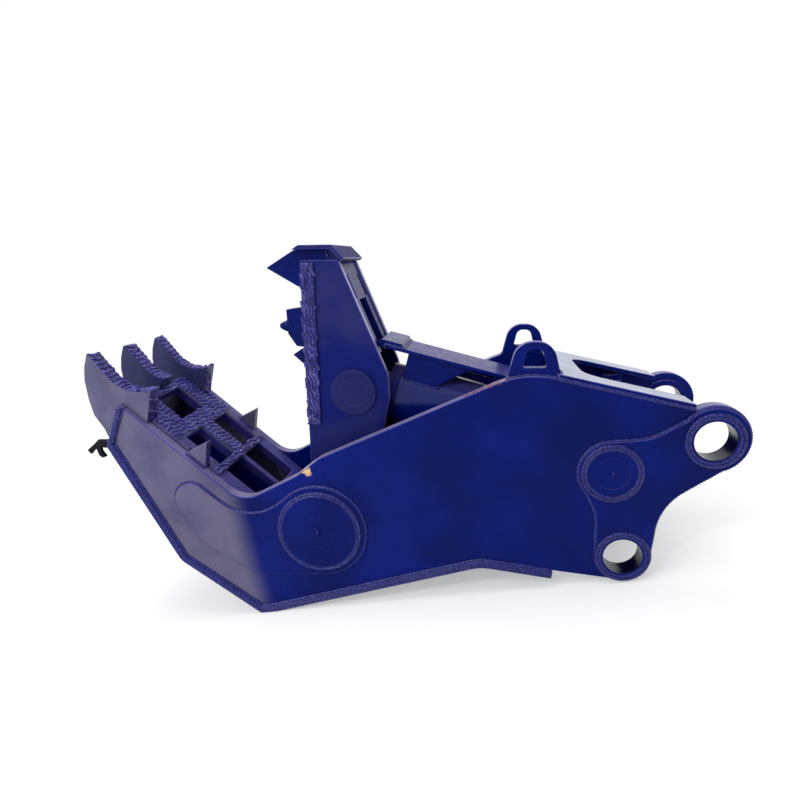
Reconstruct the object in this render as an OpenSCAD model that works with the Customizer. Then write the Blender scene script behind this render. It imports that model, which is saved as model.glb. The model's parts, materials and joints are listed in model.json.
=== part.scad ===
// Hydraulic demolition crusher for an excavator arm, jaws wide open.
// X runs back towards the excavator, Y across the crusher, Z up.
// The origin is the middle of the arm pin bore.

/* [Frame] */
// Width over the ear plates
body_w = 520; // [480:5:600]
// Thickness of the two side plates
plate_t = 40; // [34:1:46]
// Thickness of the ear plates welded on the outside
ear_plate_t = 12; // [10:1:16]
// Thickness of the cheek plates round the jaw pivot
cheek_t = 9; // [6:1:10]
// Thickness of the belly plate that wraps the underside
belly_t = 25; // [16:1:30]
// Stand-out of the belly plate past each side plate
belly_lip = 8; // [4:1:10]

/* [Excavator pins] */
// Bore that takes the excavator's arm pin
arm_bore_d = 118; // [100:1:124]
// Bore that takes the excavator's link pin
link_bore_d = 118; // [100:1:124]
// Distance of the link pin ahead of the arm pin
link_back = 292; // [280:2:310]
// Distance of the link pin below the arm pin
link_drop = 343; // [330:2:360]
// Outer radius of the upper ears
arm_ear_r = 105; // [98:1:112]
// Outer radius of the lower ears
link_ear_r = 90; // [86:1:96]
// Wall of the sleeves in the ears
sleeve_wall = 20; // [14:1:22]
// Length of a sleeve past the inner face of its side plate
sleeve_in = 12; // [6:1:20]
// Stand-out of every sleeve and boss past the ear plates
boss_proud = 4; // [2:1:8]

/* [Jaw pivot] */
// Distance of the jaw pivot ahead of the arm pin
pivot_back = 1256; // [1220:4:1300]
// Distance of the jaw pivot below the arm pin
pivot_drop = 143; // [130:1:156]
// Diameter of the jaw pivot pin
pivot_pin_d = 110; // [90:1:120]
// Outer diameter of the pivot bosses in the frame
pivot_boss_d = 260; // [220:2:270]
// Outer radius of the cheek plates round the pivot
cheek_r = 160; // [150:1:170]
// Reach of the cheek plates ahead of the pivot
cheek_l = 487; // [440:1:510]

/* [Cylinder base pin] */
// Distance of the base pin ahead of the arm pin
base_back = 294; // [280:2:310]
// Distance of the base pin below the arm pin
base_drop = 62; // [54:1:70]
// Diameter of the base pin
base_pin_d = 100; // [80:1:104]
// Outer diameter of the base pin bosses
base_boss_d = 156; // [150:1:164]
// Outer diameter of the spacers beside the cylinder eye
base_spacer_d = 130; // [124:1:140]
// Radius of the ear plates round the base pin
base_ear_r = 98; // [92:1:104]

/* [Lower jaw] */
// Slope of the lower jaw's face from level
face_angle = 130; // [127:0.5:132]
// Distance of the face below the pivot, square to the face
face_drop = 105; // [100:1:110]
// Front end of the face, along it from the foot of the pivot
face_end = 795; // [780:1:810]
// Rear end of the face plate, along it
face_start = 165; // [160:1:175]
// Thickness of the face plate
face_t = 30; // [20:1:34]
// Thickness of the hard-faced wear plate
wear_t = 10; // [6:1:12]
// Depth of the jaw box at its front end
nose_depth = 153; // [145:1:162]
// Depth of the jaw box at its heel
heel_depth = 337; // [325:1:350]
// Set-back of the jaw box at its lower front corner
nose_rake = 46; // [40:1:52]
// Place of the heel along the face
heel_u = 306; // [296:1:316]
// Thickness of the webs and ribs in the box
rib_t = 25; // [16:1:30]
// Radius of the throat between face and pivot
throat_r = 100; // [80:1:110]
// Thickness of the nose plate
nose_t = 18; // [14:1:24]
// Radius of the belly plate's bend ahead of the lower ears
belly_bend_r = 150; // [120:5:180]
// Radius of the belly plate's bend at the heel
heel_bend_r = 40; // [30:1:60]

/* [Lower teeth] */
// Reach of the tooth tips ahead of the front of the face
tooth_l = 190; // [180:1:200]
// Distance over the outer teeth
teeth_w = 460; // [446:2:470]
// Thickness of the outer teeth
tooth_t = 58; // [50:1:62]
// Thickness of the middle tooth
mid_tooth_t = 64; // [54:1:68]
// Radius of the hollow in each tooth
tooth_hollow_r = 131; // [125:1:136]
// Distance over the side fins
fins_w = 452; // [446:2:460]
// Thickness of the side fins
fin_t = 32; // [26:1:34]
// Height of the side fins
fin_h = 86; // [78:1:92]
// Height of the tooth tips above the face
tip_h = 66; // [58:1:72]
// Flat land at the tooth tips
tip_land = 12; // [8:1:16]
// Set-back of the outer teeth's spikes behind the front of the face
spike_back = 108; // [100:1:116]
// Height of the spikes
spike_h = 111; // [104:1:118]
// Forward lean of the spikes
spike_lean = 54; // [46:1:60]
// Set-back of the middle tooth behind the front of the face
mid_tooth_back = 6; // [4:1:12]
// Length of the side fins along the face
fin_l = 87; // [78:1:94]
// Place of the side fins from the rear end of the middle windows
fin_set = 19; // [12:1:26]
// Forward lean of the side fins
fin_lean = 51; // [40:1:60]

/* [Face windows] */
// Width of the front window
front_win_w = 170; // [150:2:180]
// Width of each middle window
mid_win_w = 122; // [110:1:124]
// Width of each rear window
rear_win_w = 134; // [126:1:138]
// Width of the bar between the middle windows
mid_bar_w = 76; // [72:1:90]
// Width of the bar between the rear windows
rear_bar_w = 28; // [26:1:40]
// Length of the front window
front_win_l = 122; // [100:1:130]
// Length of each middle window
mid_win_l = 152; // [130:1:160]
// Length of each rear window
rear_win_l = 178; // [150:1:184]
// Land between the front window and the front of the face
win_front_land = 33; // [30:1:50]
// Land between the front and middle windows
win_bar = 70; // [56:1:76]
// Land between the middle and rear windows
rear_bar = 30; // [28:1:40]
// Run of the wear plate behind the middle windows
wear_back = 28; // [10:1:29]
// Length of the front opening in the belly plate
belly_win_l = 76; // [50:1:80]

/* [Upper jaw] */
// Angle of the upper jaw's face from level when wide open
jaw_angle = 79.4; // [79:0.1:82]
// Length of the jaw plates from pivot to crown
jaw_l = 892; // [880:1:904]
// Distance of the jaw's face ahead of the pivot
jaw_front = 53; // [48:1:56]
// Width over the jaw plates
jaw_w = 280; // [276:1:282]
// Thickness of the jaw plates
jaw_plate_t = 28; // [24:1:28]
// Thickness of the upper jaw's face plate
jaw_face_t = 30; // [20:1:32]
// Thickness of the upper jaw's back plate
jaw_back_t = 25; // [16:1:28]
// Outer radius of the jaw plates round the pivot
jaw_lobe_r = 135; // [128:1:145]
// Outer diameter of the hub tube
hub_d = 210; // [190:2:220]
// Wall of the pivot bushes
pivot_bush_wall = 10; // [6:1:12]
// Width of the hard-faced strips on the jaw plates
strip_w = 45; // [36:1:52]
// Thickness of the hard-faced strips
strip_t = 8; // [5:1:8]
// Set-back of the face plate between the jaw plates
face_sink = 10; // [6:1:14]
// Lower end of the face plate
face_low = 250; // [236:1:262]
// Set-back of the back plate between the jaw plates
back_sink = 6; // [4:1:10]
// How far the jaw plates' length exceeds that of the back plate
back_set = 563; // [556:1:582]
// Distance of the slots in the back plate from its top
slot_top = 50; // [40:1:60]
// Length of the slots
slot_l = 82; // [70:1:90]
// Width of the slots
slot_w = 28; // [20:1:32]
// Land between a slot and the side of the back plate
slot_land = 16; // [12:1:20]
// Width of the opening under the slots
back_open_w = 104; // [90:2:110]
// Lower end of the hard-faced strips
strip_low = 344; // [330:1:360]

/* [Beak] */
// Reach of the beak ahead of the jaw's face
beak_reach = 127; // [115:1:132]
// Height of the crown above the jaw plates
crown_h = 47; // [42:1:52]
// Thickness of each beak plate
beak_t = 72; // [60:1:76]
// Distance of the beak plates from the inner faces of the jaw plates
beak_side = 2; // [1:1:4]
// Thickness of the crown cap
cap_t = 14; // [8:1:16]
// Drop of the beak's tip below the top of the jaw plates
tip_drop = 24; // [16:1:32]
// Depth of the beak plates below the top of the jaw plates
beak_root = 88; // [76:1:96]
// Small steps where the crown overhangs the jaw plates
beak_step = 5; // [3:1:6]

/* [Crushing teeth] */
// Width of the crushing teeth
crush_w = 64; // [58:2:72]
// Stand-out of the main crushing tooth's block
crush_block = 105; // [98:1:108]
// Stand-out of its stud past the block
crush_stud = 37; // [32:1:42]
// Radius of the stud at its root
stud_r = 24; // [18:1:25]
// Stand-out of the low crushing tooth
low_tooth = 90; // [84:1:94]
// Lower end of the main crushing tooth, below the top of the jaw plates
crush_set = 302; // [296:1:308]
// Length of the main crushing tooth along the jaw
crush_l = 150; // [142:1:156]
// Place of the stud below the top of the jaw plates
stud_set = 227; // [220:1:234]
// Length of the low crushing tooth along the jaw
low_tooth_l = 90; // [80:1:96]

/* [Rod pin] */
// Place of the rod pin along the jaw
rod_pin_w = 462; // [455:1:468]
// Place of the rod pin behind the pivot line
rod_pin_q = 109; // [104:1:114]
// Diameter of the rod pin
rod_pin_d = 90; // [76:1:94]
// Outer diameter of the rod pin bosses
rod_boss_d = 152; // [146:1:158]
// Stand-out of the rod pin bosses past the jaw plates
rod_boss_proud = 10; // [6:1:10]
// Outer diameter of the spacers beside the rod eye
rod_spacer_d = 136; // [120:1:140]

/* [Cylinder] */
// Outer diameter of the barrel
barrel_d = 220; // [210:1:220]
// Bore of the barrel
cyl_bore_d = 180; // [170:1:184]
// Diameter of the piston rod
rod_d = 110; // [96:1:114]
// Front end of the barrel from the rod pin, cylinder closed up
barrel_start = 138; // [132:1:146]
// Length of the barrel tube
barrel_l = 574; // [560:1:580]
// Outer diameter of the rod eye
rod_eye_d = 160; // [152:1:166]
// Length of the spacers beside the rod eye
rod_spacer_l = 48.5; // [44:0.5:54]
// Wall of the bush in the rod eye
rod_bush_wall = 10; // [6:1:12]
// Outer diameter of the base eye
base_eye_d = 216; // [206:1:217]
// Width of the base eye
base_eye_w = 140; // [130:2:150]
// Width of the web between cap and base eye
eye_web_w = 120; // [100:2:126]
// Free play round the base pin, where the linkage is opened
base_play = 23; // [23:0.5:25]
// Outer diameter of the gland head
gland_d = 204; // [192:1:208]
// Length of the gland in front of the barrel
gland_out = 38; // [32:1:38]
// Length of the gland inside the barrel
gland_in = 60; // [40:1:64]
// Length of the piston
piston_l = 62; // [50:1:66]
// Stroke of the piston
stroke = 386; // [385:1:390]
// Clearance at both ends of the stroke
neck_gap = 4; // [2:1:6]
// Length of the plug in the rear end of the barrel
plug_l = 14; // [8:1:16]
// Thickness of the cap behind the barrel
cap_l = 28; // [20:1:30]
// Height of the web between cap and base eye
eye_web_h = 160; // [150:2:164]

/* [Guard] */
// Height of the guard's top above the cylinder's axis
guard_h = 177; // [170:1:184]
// Thickness of the guard's top plate
guard_top_t = 12; // [8:1:14]
// Width of the guard's top plate
guard_w = 204; // [190:2:210]
// Length of the guard's top plate
guard_l = 440; // [400:2:460]
// Thickness of the guard's side plates
guard_side_t = 12; // [8:1:14]
// Distance over the guard's side plates
guard_side_w = 168; // [156:2:176]
// Height of the hard-faced nose block
guard_nose_h = 26; // [16:1:28]
// Front end of the guard's top plate from the rod pin
guard_start = 60; // [54:1:70]
// Set-back of the side plates behind the barrel's front end
gap_a = 6; // [3:1:12]
// Length of the side plates at the top
leg_top_l = 222; // [200:2:240]
// Length of the side plates at the bottom
leg_low_l = 133; // [110:1:150]
// Length of the rear legs
rear_leg_l = 60; // [40:1:80]
// Run of the nose block over the top plate
nose_over = 68; // [60:1:76]
// Stand-out of the nose block ahead of the top plate
nose_ahead = 25; // [20:1:27]

/* [Top plate and lugs] */
// Thickness of the rear top plate
top_t = 15; // [10:1:18]
// Length of its closed front part
top_bridge_l = 92; // [80:1:110]
// Outer width of a lifting lug at its foot
lug_w = 154; // [140:2:160]
// Width of a lifting lug across its top corners
lug_top_w = 104; // [96:2:116]
// Height of a lifting lug above its foot
lug_h = 98; // [90:1:106]
// Radius of a lifting lug's top corners
lug_r = 58; // [50:1:60]
// Thickness of a lifting lug
lug_t = 30; // [20:1:36]
// Width of the opening in a lifting lug at its lower edge
lug_hole_w = 74; // [64:1:78]
// Width of the opening across its top corners
lug_hole_top_w = 46; // [40:1:52]
// Length of the rear top plate along its slope
top_l = 400; // [380:2:402]
// Distance of its rear end from the top of the arm ears
top_near = 47; // [40:1:60]
// Width of the opening in the top plate
top_open_w = 290; // [270:2:300]
// Corner radius of the opening
top_corner_r = 60; // [40:1:80]
// Distance of the lugs' middle ahead of the top plate's front end
lug_ahead = 65; // [57:1:73]
// Backward tilt of the lugs
lug_tilt = 9.5; // [7:0.5:12]
// Set-back of the lugs behind the outer faces of the side plates
lug_inset = 14; // [8:1:16]
// Height of the opening's lower edge
lug_hole_low = 20; // [16:1:24]
// Height of the opening
lug_hole_h = 58; // [50:1:62]

/* [Small parts] */
// Width of the keeper bars in the pin ends
keeper_w = 32; // [24:1:36]
// Thickness of the keeper bars
keeper_t = 10; // [6:1:12]
// Diameter of the keeper bolts
keeper_bolt_d = 12; // [8:1:14]
// Length of the keeper bolts under the head
keeper_bolt_l = 30; // [20:1:36]
// Diameter of the oil tube on the barrel
oil_tube_d = 22; // [18:1:26]
// Diameter of a grease nipple
nipple_d = 10; // [8:1:12]
// Thickness of the thrust washers
washer_t = 8; // [5:1:10]
// Distance of the port block ahead of the arm pin
port_back = 180; // [176:2:200]
// Height of the port block above the arm pin
port_rise = 108; // [100:1:112]
// Size of the port block
port_w = 62; // [56:1:64]
// Thickness of the port block
port_t = 48; // [36:1:52]
// Diameter of the capped adapters
adapter_d = 26; // [20:1:28]
// Length of the capped adapters
adapter_l = 36; // [24:1:40]
// Size of the tie hook
hook_l = 100; // [80:1:104]
// Thickness of the tie hook
hook_t = 12; // [8:1:13]
// Distance of the front oil block behind the barrel's front end
oil_front = 14; // [10:1:20]
// Distance of the rear oil block from the barrel's rear end
oil_rear = 96; // [90:1:110]
// Length of an oil block
oil_block_l = 44; // [36:1:48]
// Set-back of the rear bulkhead from the end of the belly plate
bulkhead_set = 60; // [50:1:80]
// Height of the rear bulkhead's top above the ground
bulkhead_h = 270; // [250:1:272]

/* [Fits] */
// Radial clearance of pins, rods and bushes
fit = 0.08; // [0.05:0.01:0.1]
// Gap round sleeves set into plates, filled by the weld
weld_gap = 0.25; // [0.15:0.05:0.4]
// Side gap between pieces that turn against each other
side_gap = 1.5; // [1:0.5:2]
// Gap between flat faces that are welded on each other
seat_gap = 0.1; // [0.05:0.05:0.3]

/* [Hidden] */

$fn = 64;
// Overrun of every cut
over = 2;
// Angle between the points of a rounded corner
arc_step = 7;

paint = "midnightblue";
paint_lit = "darkslateblue";
wear_tone = "slateblue";
steel = "silver";
bronze = "peru";

half_w = body_w / 2;
side_out = half_w - ear_plate_t;
side_in = side_out - plate_t;
boss_out = half_w + boss_proud;
jaw_half = jaw_w / 2;
jaw_in = jaw_half - jaw_plate_t;
beak_gap = 2 * (jaw_in - beak_side - beak_t);
slot_y = jaw_in - slot_land - slot_w / 2;
crush_low = jaw_l - crush_set;
stud_w = jaw_l - stud_set;
back_l = jaw_l - back_set;
rod_eye_w = 2 * (jaw_in - side_gap - rod_spacer_l);
tooth_reach = face_end + tooth_l;

arm = [0, 0];
link = [-link_back, -link_drop];
base = [-base_back, -base_drop];
pivot = [-pivot_back, -pivot_drop];
ground = link[1] - link_ear_r;

face_dir = [cos(face_angle), sin(face_angle)];
face_up = [sin(face_angle), -cos(face_angle)];
jaw_dir = [cos(jaw_angle), sin(jaw_angle)];
jaw_rear = [sin(jaw_angle), -cos(jaw_angle)];
rod_centre = pivot + rod_pin_w * jaw_dir + rod_pin_q * jaw_rear;
cyl_l = norm(base - rod_centre);
cyl_dir = (base - rod_centre) / cyl_l;
cyl_angle = atan2(cyl_dir[1], cyl_dir[0]);

// A place on the lower jaw: u along its face, h above it
function on_face(u, h) = pivot + u * face_dir + (h - face_drop) * face_up;
// A place on the upper jaw: w along it, q behind the pivot line
function on_jaw(w, q) = pivot + w * jaw_dir + q * jaw_rear;
// A place by the cylinder: a along it from the rod pin, v above its axis
function on_cyl(a, v) = rod_centre + a * cyl_dir + v * [-cyl_dir[1], cyl_dir[0]];

function unit(v) = v / norm(v);
function left_of(v) = [-v[1], v[0]];
function xy(p) = [p[0], p[1]];
function with_r(p, r) = [p[0], p[1], r];

// The arc that rounds corner b of the path a, b, c to radius r
function corner(a, b, c, r) =
    let (
        u = unit(a - b),
        w = unit(c - b),
        half = acos(max(-1, min(1, u * w))) / 2,
        turn = 180 - 2 * half,
        mid = b + unit(u + w) * (r / sin(half)),
        first = b + u * (r / tan(half)) - mid,
        sense = sign(u[0] * w[1] - u[1] * w[0]),
        steps = max(2, ceil(turn / arc_step))
    )
    [for (i = [0:steps])
        let (t = -sense * turn * i / steps)
        mid + [first[0] * cos(t) - first[1] * sin(t), first[0] * sin(t) + first[1] * cos(t)]];

// A closed outline from corners [x, z, radius]
function rounded(pts) =
    let (n = len(pts))
    [for (i = [0:n - 1])
        let (r = pts[i][2], b = xy(pts[i]))
        each r <= 0 ? [b] : corner(xy(pts[(i + n - 1) % n]), b, xy(pts[(i + 1) % n]), r)];

// Where the line through p along d meets the line through q along e
function crossing(p, d, q, e) =
    p + d * (((q - p)[0] * e[1] - (q - p)[1] * e[0]) / (d[0] * e[1] - d[1] * e[0]));

// An open path shifted to its left by t, with mitred corners
function shifted(path, t) =
    let (n = len(path))
    [for (i = [0:n - 1])
        let (
            before = i == 0 ? unit(path[1] - path[0]) : unit(path[i] - path[i - 1]),
            after = i == n - 1 ? before : unit(path[i + 1] - path[i])
        )
        i == 0 || i == n - 1
            ? path[i] + left_of(before) * t
            : crossing(path[i] + left_of(before) * t, before, path[i] + left_of(after) * t, after)];

// A flat shape in X and Z made solid from y0 to y1
module slab(y0, y1)
    rotate([90, 0, 0])
        translate([0, 0, -y1])
            linear_extrude(y1 - y0)
                children();

// A round bar across the crusher
module bar(at, r, y0, y1)
    translate([at[0], y0, at[1]])
        rotate([-90, 0, 0])
            cylinder(r = r, h = y1 - y0);

// A tube across the crusher
module tube(at, r_out, r_in, y0, y1)
    difference() {
        bar(at, r_out, y0, y1);
        bar(at, r_in, y0 - over, y1 + over);
    }

module both_sides() {
    children();
    mirror([0, 1, 0]) children();
}

// Turns a shape made along Z so that it lies along the cylinder, from the rod pin
module along_cylinder()
    translate([rod_centre[0], 0, rod_centre[1]])
        rotate([0, 90 - cyl_angle, 0])
            children();

// Places a box given by its corners along a face: u, y and height h
module face_box(u, y, h)
    slab(y[0], y[1])
        polygon([on_face(u[0], h[0]), on_face(u[1], h[0]), on_face(u[1], h[1]), on_face(u[0], h[1])]);

// Outline of the side plates
belly_shares = [[-0.300, 0], [-0.238, 0], [0.537, 0.334], [0.766, 0.110]];
belly_span = pivot_back - link_back;
function belly_point(s) = [pivot[0] + s[0] * belly_span, ground + s[1] * heel_rise];
heel_rise = pivot[1] - ground;
belly_front = on_face(face_end - nose_rake, -nose_depth);
belly_path = [
    belly_front,
    on_face(heel_u, -heel_depth),
    belly_point(belly_shares[0]),
    belly_point(belly_shares[1]),
    belly_point(belly_shares[2]),
    belly_point(belly_shares[3])];
belly_inner = shifted(belly_path, belly_t);
// The line that the side plates, the nose plate and the ribs stand on
belly_seat = shifted(belly_path, belly_t + seat_gap);
belly_out_r = [0, heel_bend_r + belly_t, 0, 0, belly_bend_r, 0];
belly_in_r = [0, heel_bend_r, 0, 0, belly_bend_r + belly_t, 0];

throat = on_face(face_start + throat_r, 0);
knee_shares = [[-0.2125, 1.281], [0.35, 1.59]];
knee_r = 120;
knee_low = pivot + cheek_r * knee_shares[0];
knee_high = pivot + cheek_r * knee_shares[1];
back_slope = 22.42;
back_dir = [cos(back_slope), -sin(back_slope)];
back_start = [0, arm_ear_r * 0.78];
hump_rise = 14.4;
hump = crossing(knee_high, [cos(hump_rise), sin(hump_rise)], back_start, back_dir);
hump_r = 290;
hump_half = (back_slope + hump_rise) / 2;
hump_top = hump[1] - hump_r * (1 / cos(hump_half) - 1);
lug_back = (top_near + top_l) * cos(back_slope) + lug_ahead;
waist_share = [-0.468, -0.514];
waist_r = 180;
lug_foot = 40;
ear_inset = 8;

module side_body()
    polygon(rounded([
        with_r(nose_top_in, 0),
        with_r(throat, throat_r),
        with_r(knee_low, knee_r),
        with_r(knee_high, knee_r),
        with_r(hump, hump_r),
        with_r(back_start, 0),
        [arm_ear_r * 0.42, -arm_ear_r * 0.86, 0],
        [link_drop * waist_share[0], link_drop * waist_share[1], waist_r],
        [link[0] + link_ear_r, link[1], 0],
        [link[0] - link_ear_r / 3, link[1] - link_ear_r * 0.94, 0],
        with_r(belly_seat[5], 0),
        with_r(belly_seat[4], belly_in_r[4]),
        with_r(belly_seat[3], 0),
        with_r(belly_seat[2], 0),
        with_r(belly_seat[1], belly_in_r[1]),
        with_r(nose_low_in, 0)]));

module side_outline() {
    side_body();
    translate(arm) circle(arm_ear_r);
    translate(link) circle(link_ear_r);
}

module side_plate()
    difference() {
        union() {
            slab(side_in, side_out) side_body();
            bar(arm, arm_ear_r, side_in, side_out);
            bar(link, link_ear_r, side_in, side_out);
        }
        bar(arm, arm_bore_d / 2 + sleeve_wall + weld_gap, side_in - over, side_out + over);
        bar(link, link_bore_d / 2 + sleeve_wall + weld_gap, side_in - over, side_out + over);
        bar(pivot, pivot_boss_d / 2 + weld_gap, side_in - over, side_out + over);
        bar(base, base_boss_d / 2 + weld_gap, side_in - over, side_out + over);
    }

module side_plate_near() color(paint) mirror([0, 1, 0]) side_plate();
module side_plate_far() color(paint) side_plate();

// Ear plate: rounds both excavator pins and the base pin
ear_waist_share = [-1.026, -0.554];
ear_top_share = [-0.501, 0.082];

module ear_outline() {
    r_arm = arm_ear_r - ear_inset;
    r_link = link_ear_r - ear_inset;
    polygon(rounded([
        [0, r_arm, 0],
        [link_drop * ear_top_share[0], link_drop * ear_top_share[1], hump_r / 2],
        [base[0], base[1] + base_ear_r, 0],
        [base[0] - base_ear_r, base[1], 0],
        [link_drop * ear_waist_share[0], link_drop * ear_waist_share[1], hump_r / 2],
        [link[0] - r_link, link[1], 0],
        [link[0] + r_link, link[1], 0],
        [link_drop * waist_share[0] - ear_inset, link_drop * waist_share[1] - ear_inset, waist_r],
        [r_arm * 0.42, -r_arm * 0.86, 0]]));
    translate(arm) circle(r_arm);
    translate(link) circle(r_link);
    translate(base) circle(base_ear_r);
}

module ear_plates()
    color(paint)
        both_sides()
            difference() {
                slab(side_out, half_w) ear_outline();
                bar(arm, arm_bore_d / 2 + sleeve_wall + weld_gap, side_out - over, half_w + over);
                bar(link, link_bore_d / 2 + sleeve_wall + weld_gap, side_out - over, half_w + over);
                bar(base, base_boss_d / 2 + weld_gap, side_out - over, half_w + over);
            }

// Cheek plate: a disc round the pivot with a long lobe towards the teeth
cheek_shares = [
    [-0.800, 0.456, 0], [-0.503, 0.113, 0.33], [-0.092, 0.314, 0], [0.120, 0, 0],
    [-0.041, -0.324, 0], [-0.513, -0.277, 0.12], [-0.883, 0.010, 0.18], [-1.000, 0.330, 0]];
cheek_lobe_share = [-0.875, 0.353, 0.125];

module cheek_outline()
    translate(pivot) {
        polygon(rounded([for (s = cheek_shares) s * cheek_l]));
        translate(xy(cheek_lobe_share) * cheek_l) circle(cheek_lobe_share[2] * cheek_l);
        circle(cheek_r);
    }

module cheek_plates()
    color(paint)
        both_sides()
            difference() {
                slab(side_out, side_out + cheek_t) cheek_outline();
                bar(pivot, pivot_boss_d / 2 + weld_gap, side_out - over, half_w);
            }

module arm_sleeves()
    color(paint)
        both_sides()
            tube(arm, arm_bore_d / 2 + sleeve_wall, arm_bore_d / 2, side_in - sleeve_in, boss_out);

module link_sleeves()
    color(paint)
        both_sides()
            tube(link, link_bore_d / 2 + sleeve_wall, link_bore_d / 2, side_in - sleeve_in, boss_out);

// Groove for a keeper bar across the far end of a pin, sunk into the face at y
module keeper_groove(at, l, y)
    translate([at[0] - l / 2 - fit, y - keeper_t - fit, at[1] - keeper_w / 2 - fit])
        cube([l + 2 * fit, keeper_t + over, keeper_w + 2 * fit]);

// Threaded holes for the bolts of a keeper bar
module keeper_holes(at, l, y)
    for (side = [-1, 1])
        bar(at + [side * (l / 2 - keeper_bolt_d), 0], keeper_bolt_d / 2 + fit,
            y - keeper_bolt_l - over, y + over);

// A keeper bar lying in its groove
module keeper(at, l, y)
    difference() {
        translate([at[0] - l / 2, y - keeper_t, at[1] - keeper_w / 2])
            cube([l, keeper_t, keeper_w]);
        keeper_holes(at, l, y);
    }

// The two bolts of a keeper bar, heads on its outer face
module bolt_pair(at, l, y)
    for (side = [-1, 1]) {
        bar(at + [side * (l / 2 - keeper_bolt_d), 0], keeper_bolt_d / 2, y - keeper_bolt_l, y);
        translate([at[0] + side * (l / 2 - keeper_bolt_d), y, at[1]])
            rotate([-90, 0, 0])
                cylinder(d = keeper_bolt_d * 1.9, h = keeper_bolt_d * 0.65, $fn = 6);
    }

pivot_keeper_l = pivot_pin_d + 3 * keeper_w;
base_keeper_l = base_boss_d - keeper_bolt_d / 2;
rod_keeper_l = rod_boss_d - keeper_bolt_d / 2;

module pivot_bosses()
    color(paint) {
        mirror([0, 1, 0])
            tube(pivot, pivot_boss_d / 2, pivot_pin_d / 2 + fit, side_in, boss_out);
        difference() {
            tube(pivot, pivot_boss_d / 2, pivot_pin_d / 2 + fit, side_in, boss_out);
            keeper_groove(pivot, pivot_keeper_l, boss_out);
            keeper_holes(pivot, pivot_keeper_l, boss_out);
        }
    }

module base_bosses()
    color(paint) {
        mirror([0, 1, 0])
            tube(base, base_boss_d / 2, base_pin_d / 2 + fit, side_in, boss_out);
        difference() {
            tube(base, base_boss_d / 2, base_pin_d / 2 + fit, side_in, boss_out);
            keeper_groove(base, base_keeper_l, boss_out);
            keeper_holes(base, base_keeper_l, boss_out);
        }
    }

// Belly plate: one bent plate from the teeth to the lower ears
belly_half = side_out + belly_lip;

module belly_outline()
    polygon(rounded(concat(
        [for (i = [0:5]) with_r(belly_path[i], belly_out_r[i])],
        [for (i = [5:-1:1]) with_r(belly_inner[i], belly_in_r[i])],
        [with_r(nose_low, 0)])));

module belly_plate()
    color(paint)
        difference() {
            slab(-belly_half, belly_half) belly_outline();
            face_box([front_win[0], front_win[0] + belly_win_l], [-front_win_w / 2, front_win_w / 2],
                [-2 * heel_depth, -nose_depth / 2]);
            both_sides()
                face_box(mid_win, [mid_bar_w / 2, mid_bar_w / 2 + mid_win_w], [-2 * heel_depth, -nose_depth]);
        }

// Face plate and the plate that closes the front of the box
front_win = [face_end - win_front_land - front_win_l, face_end - win_front_land];
mid_win = [front_win[0] - win_bar - mid_win_l, front_win[0] - win_bar];
rear_win = [mid_win[0] - rear_bar - rear_win_l, mid_win[0] - rear_bar];

nose_dir = unit(belly_front - on_face(face_end, 0));
belly_dir = unit(belly_inner[1] - belly_inner[0]);
nose_in = left_of(nose_dir) * nose_t;
nose_top = on_face(face_end, 0);
nose_low = crossing(belly_front, nose_dir, belly_inner[0], belly_dir);
nose_top_in = crossing(nose_top + nose_in, nose_dir, throat, face_dir);
nose_foot = crossing(belly_front, nose_dir, belly_seat[0], belly_dir);
nose_low_in = crossing(nose_low + nose_in, nose_dir, belly_seat[0], belly_dir);
nose_under_in = crossing(nose_top + nose_in, nose_dir, on_face(0, -face_t), face_dir);

module nose_outline()
    polygon([nose_top, nose_foot, nose_low_in, nose_top_in]);

module nose_plate()
    color(paint)
        slab(-belly_half, belly_half)
            nose_outline();

module window_cuts(h0, h1) {
    face_box(front_win, [-front_win_w / 2, front_win_w / 2], [h0, h1]);
    both_sides() {
        face_box(mid_win, [mid_bar_w / 2, mid_bar_w / 2 + mid_win_w], [h0, h1]);
        face_box(rear_win, [rear_bar_w / 2, rear_bar_w / 2 + rear_win_w], [h0, h1]);
    }
}

module face_plate()
    color(paint_lit)
        difference() {
            slab(-side_in, side_in)
                polygon([on_face(face_start, -face_t), on_face(face_start, 0), nose_top_in, nose_under_in]);
            window_cuts(-face_t - over, over);
        }

tooth_out = teeth_w / 2;
tooth_in = tooth_out - tooth_t;
fin_out = fins_w / 2;
spike_u = face_end - spike_back;
fin_u = [mid_win[0] + fin_set, mid_win[0] + fin_set + fin_l];

module wear_plate()
    color(wear_tone)
        difference() {
            face_box([mid_win[0] - wear_back, face_end], [-side_in + weld_gap, side_in - weld_gap],
                [seat_gap, wear_t]);
            window_cuts(-over, wear_t + over);
            both_sides() {
                face_box([spike_u - weld_gap, face_end + over], [tooth_in - weld_gap, side_in + over],
                    [-over, wear_t + over]);
                face_box([fin_u[0] - weld_gap, fin_u[1] + weld_gap],
                    [fin_out - fin_t - weld_gap, side_in + over], [-over, wear_t + over]);
            }
            face_box([face_end - mid_tooth_back - weld_gap, face_end + over],
                [-mid_tooth_t / 2 - weld_gap, mid_tooth_t / 2 + weld_gap], [-over, wear_t + over]);
        }

// Lower teeth: hooked plates that sit over the front corner of the box
tooth_back_shares = [[0.995, 0.321], [0.912, 0.093], [0.793, -0.104], [0.544, -0.368],
    [0.316, -0.555], [0.015, -0.653]];
hollow_share = [0.039, 0.142];
function on_tooth(share) = on_face(face_end + share[0] * tooth_l, share[1] * tooth_l);

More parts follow.
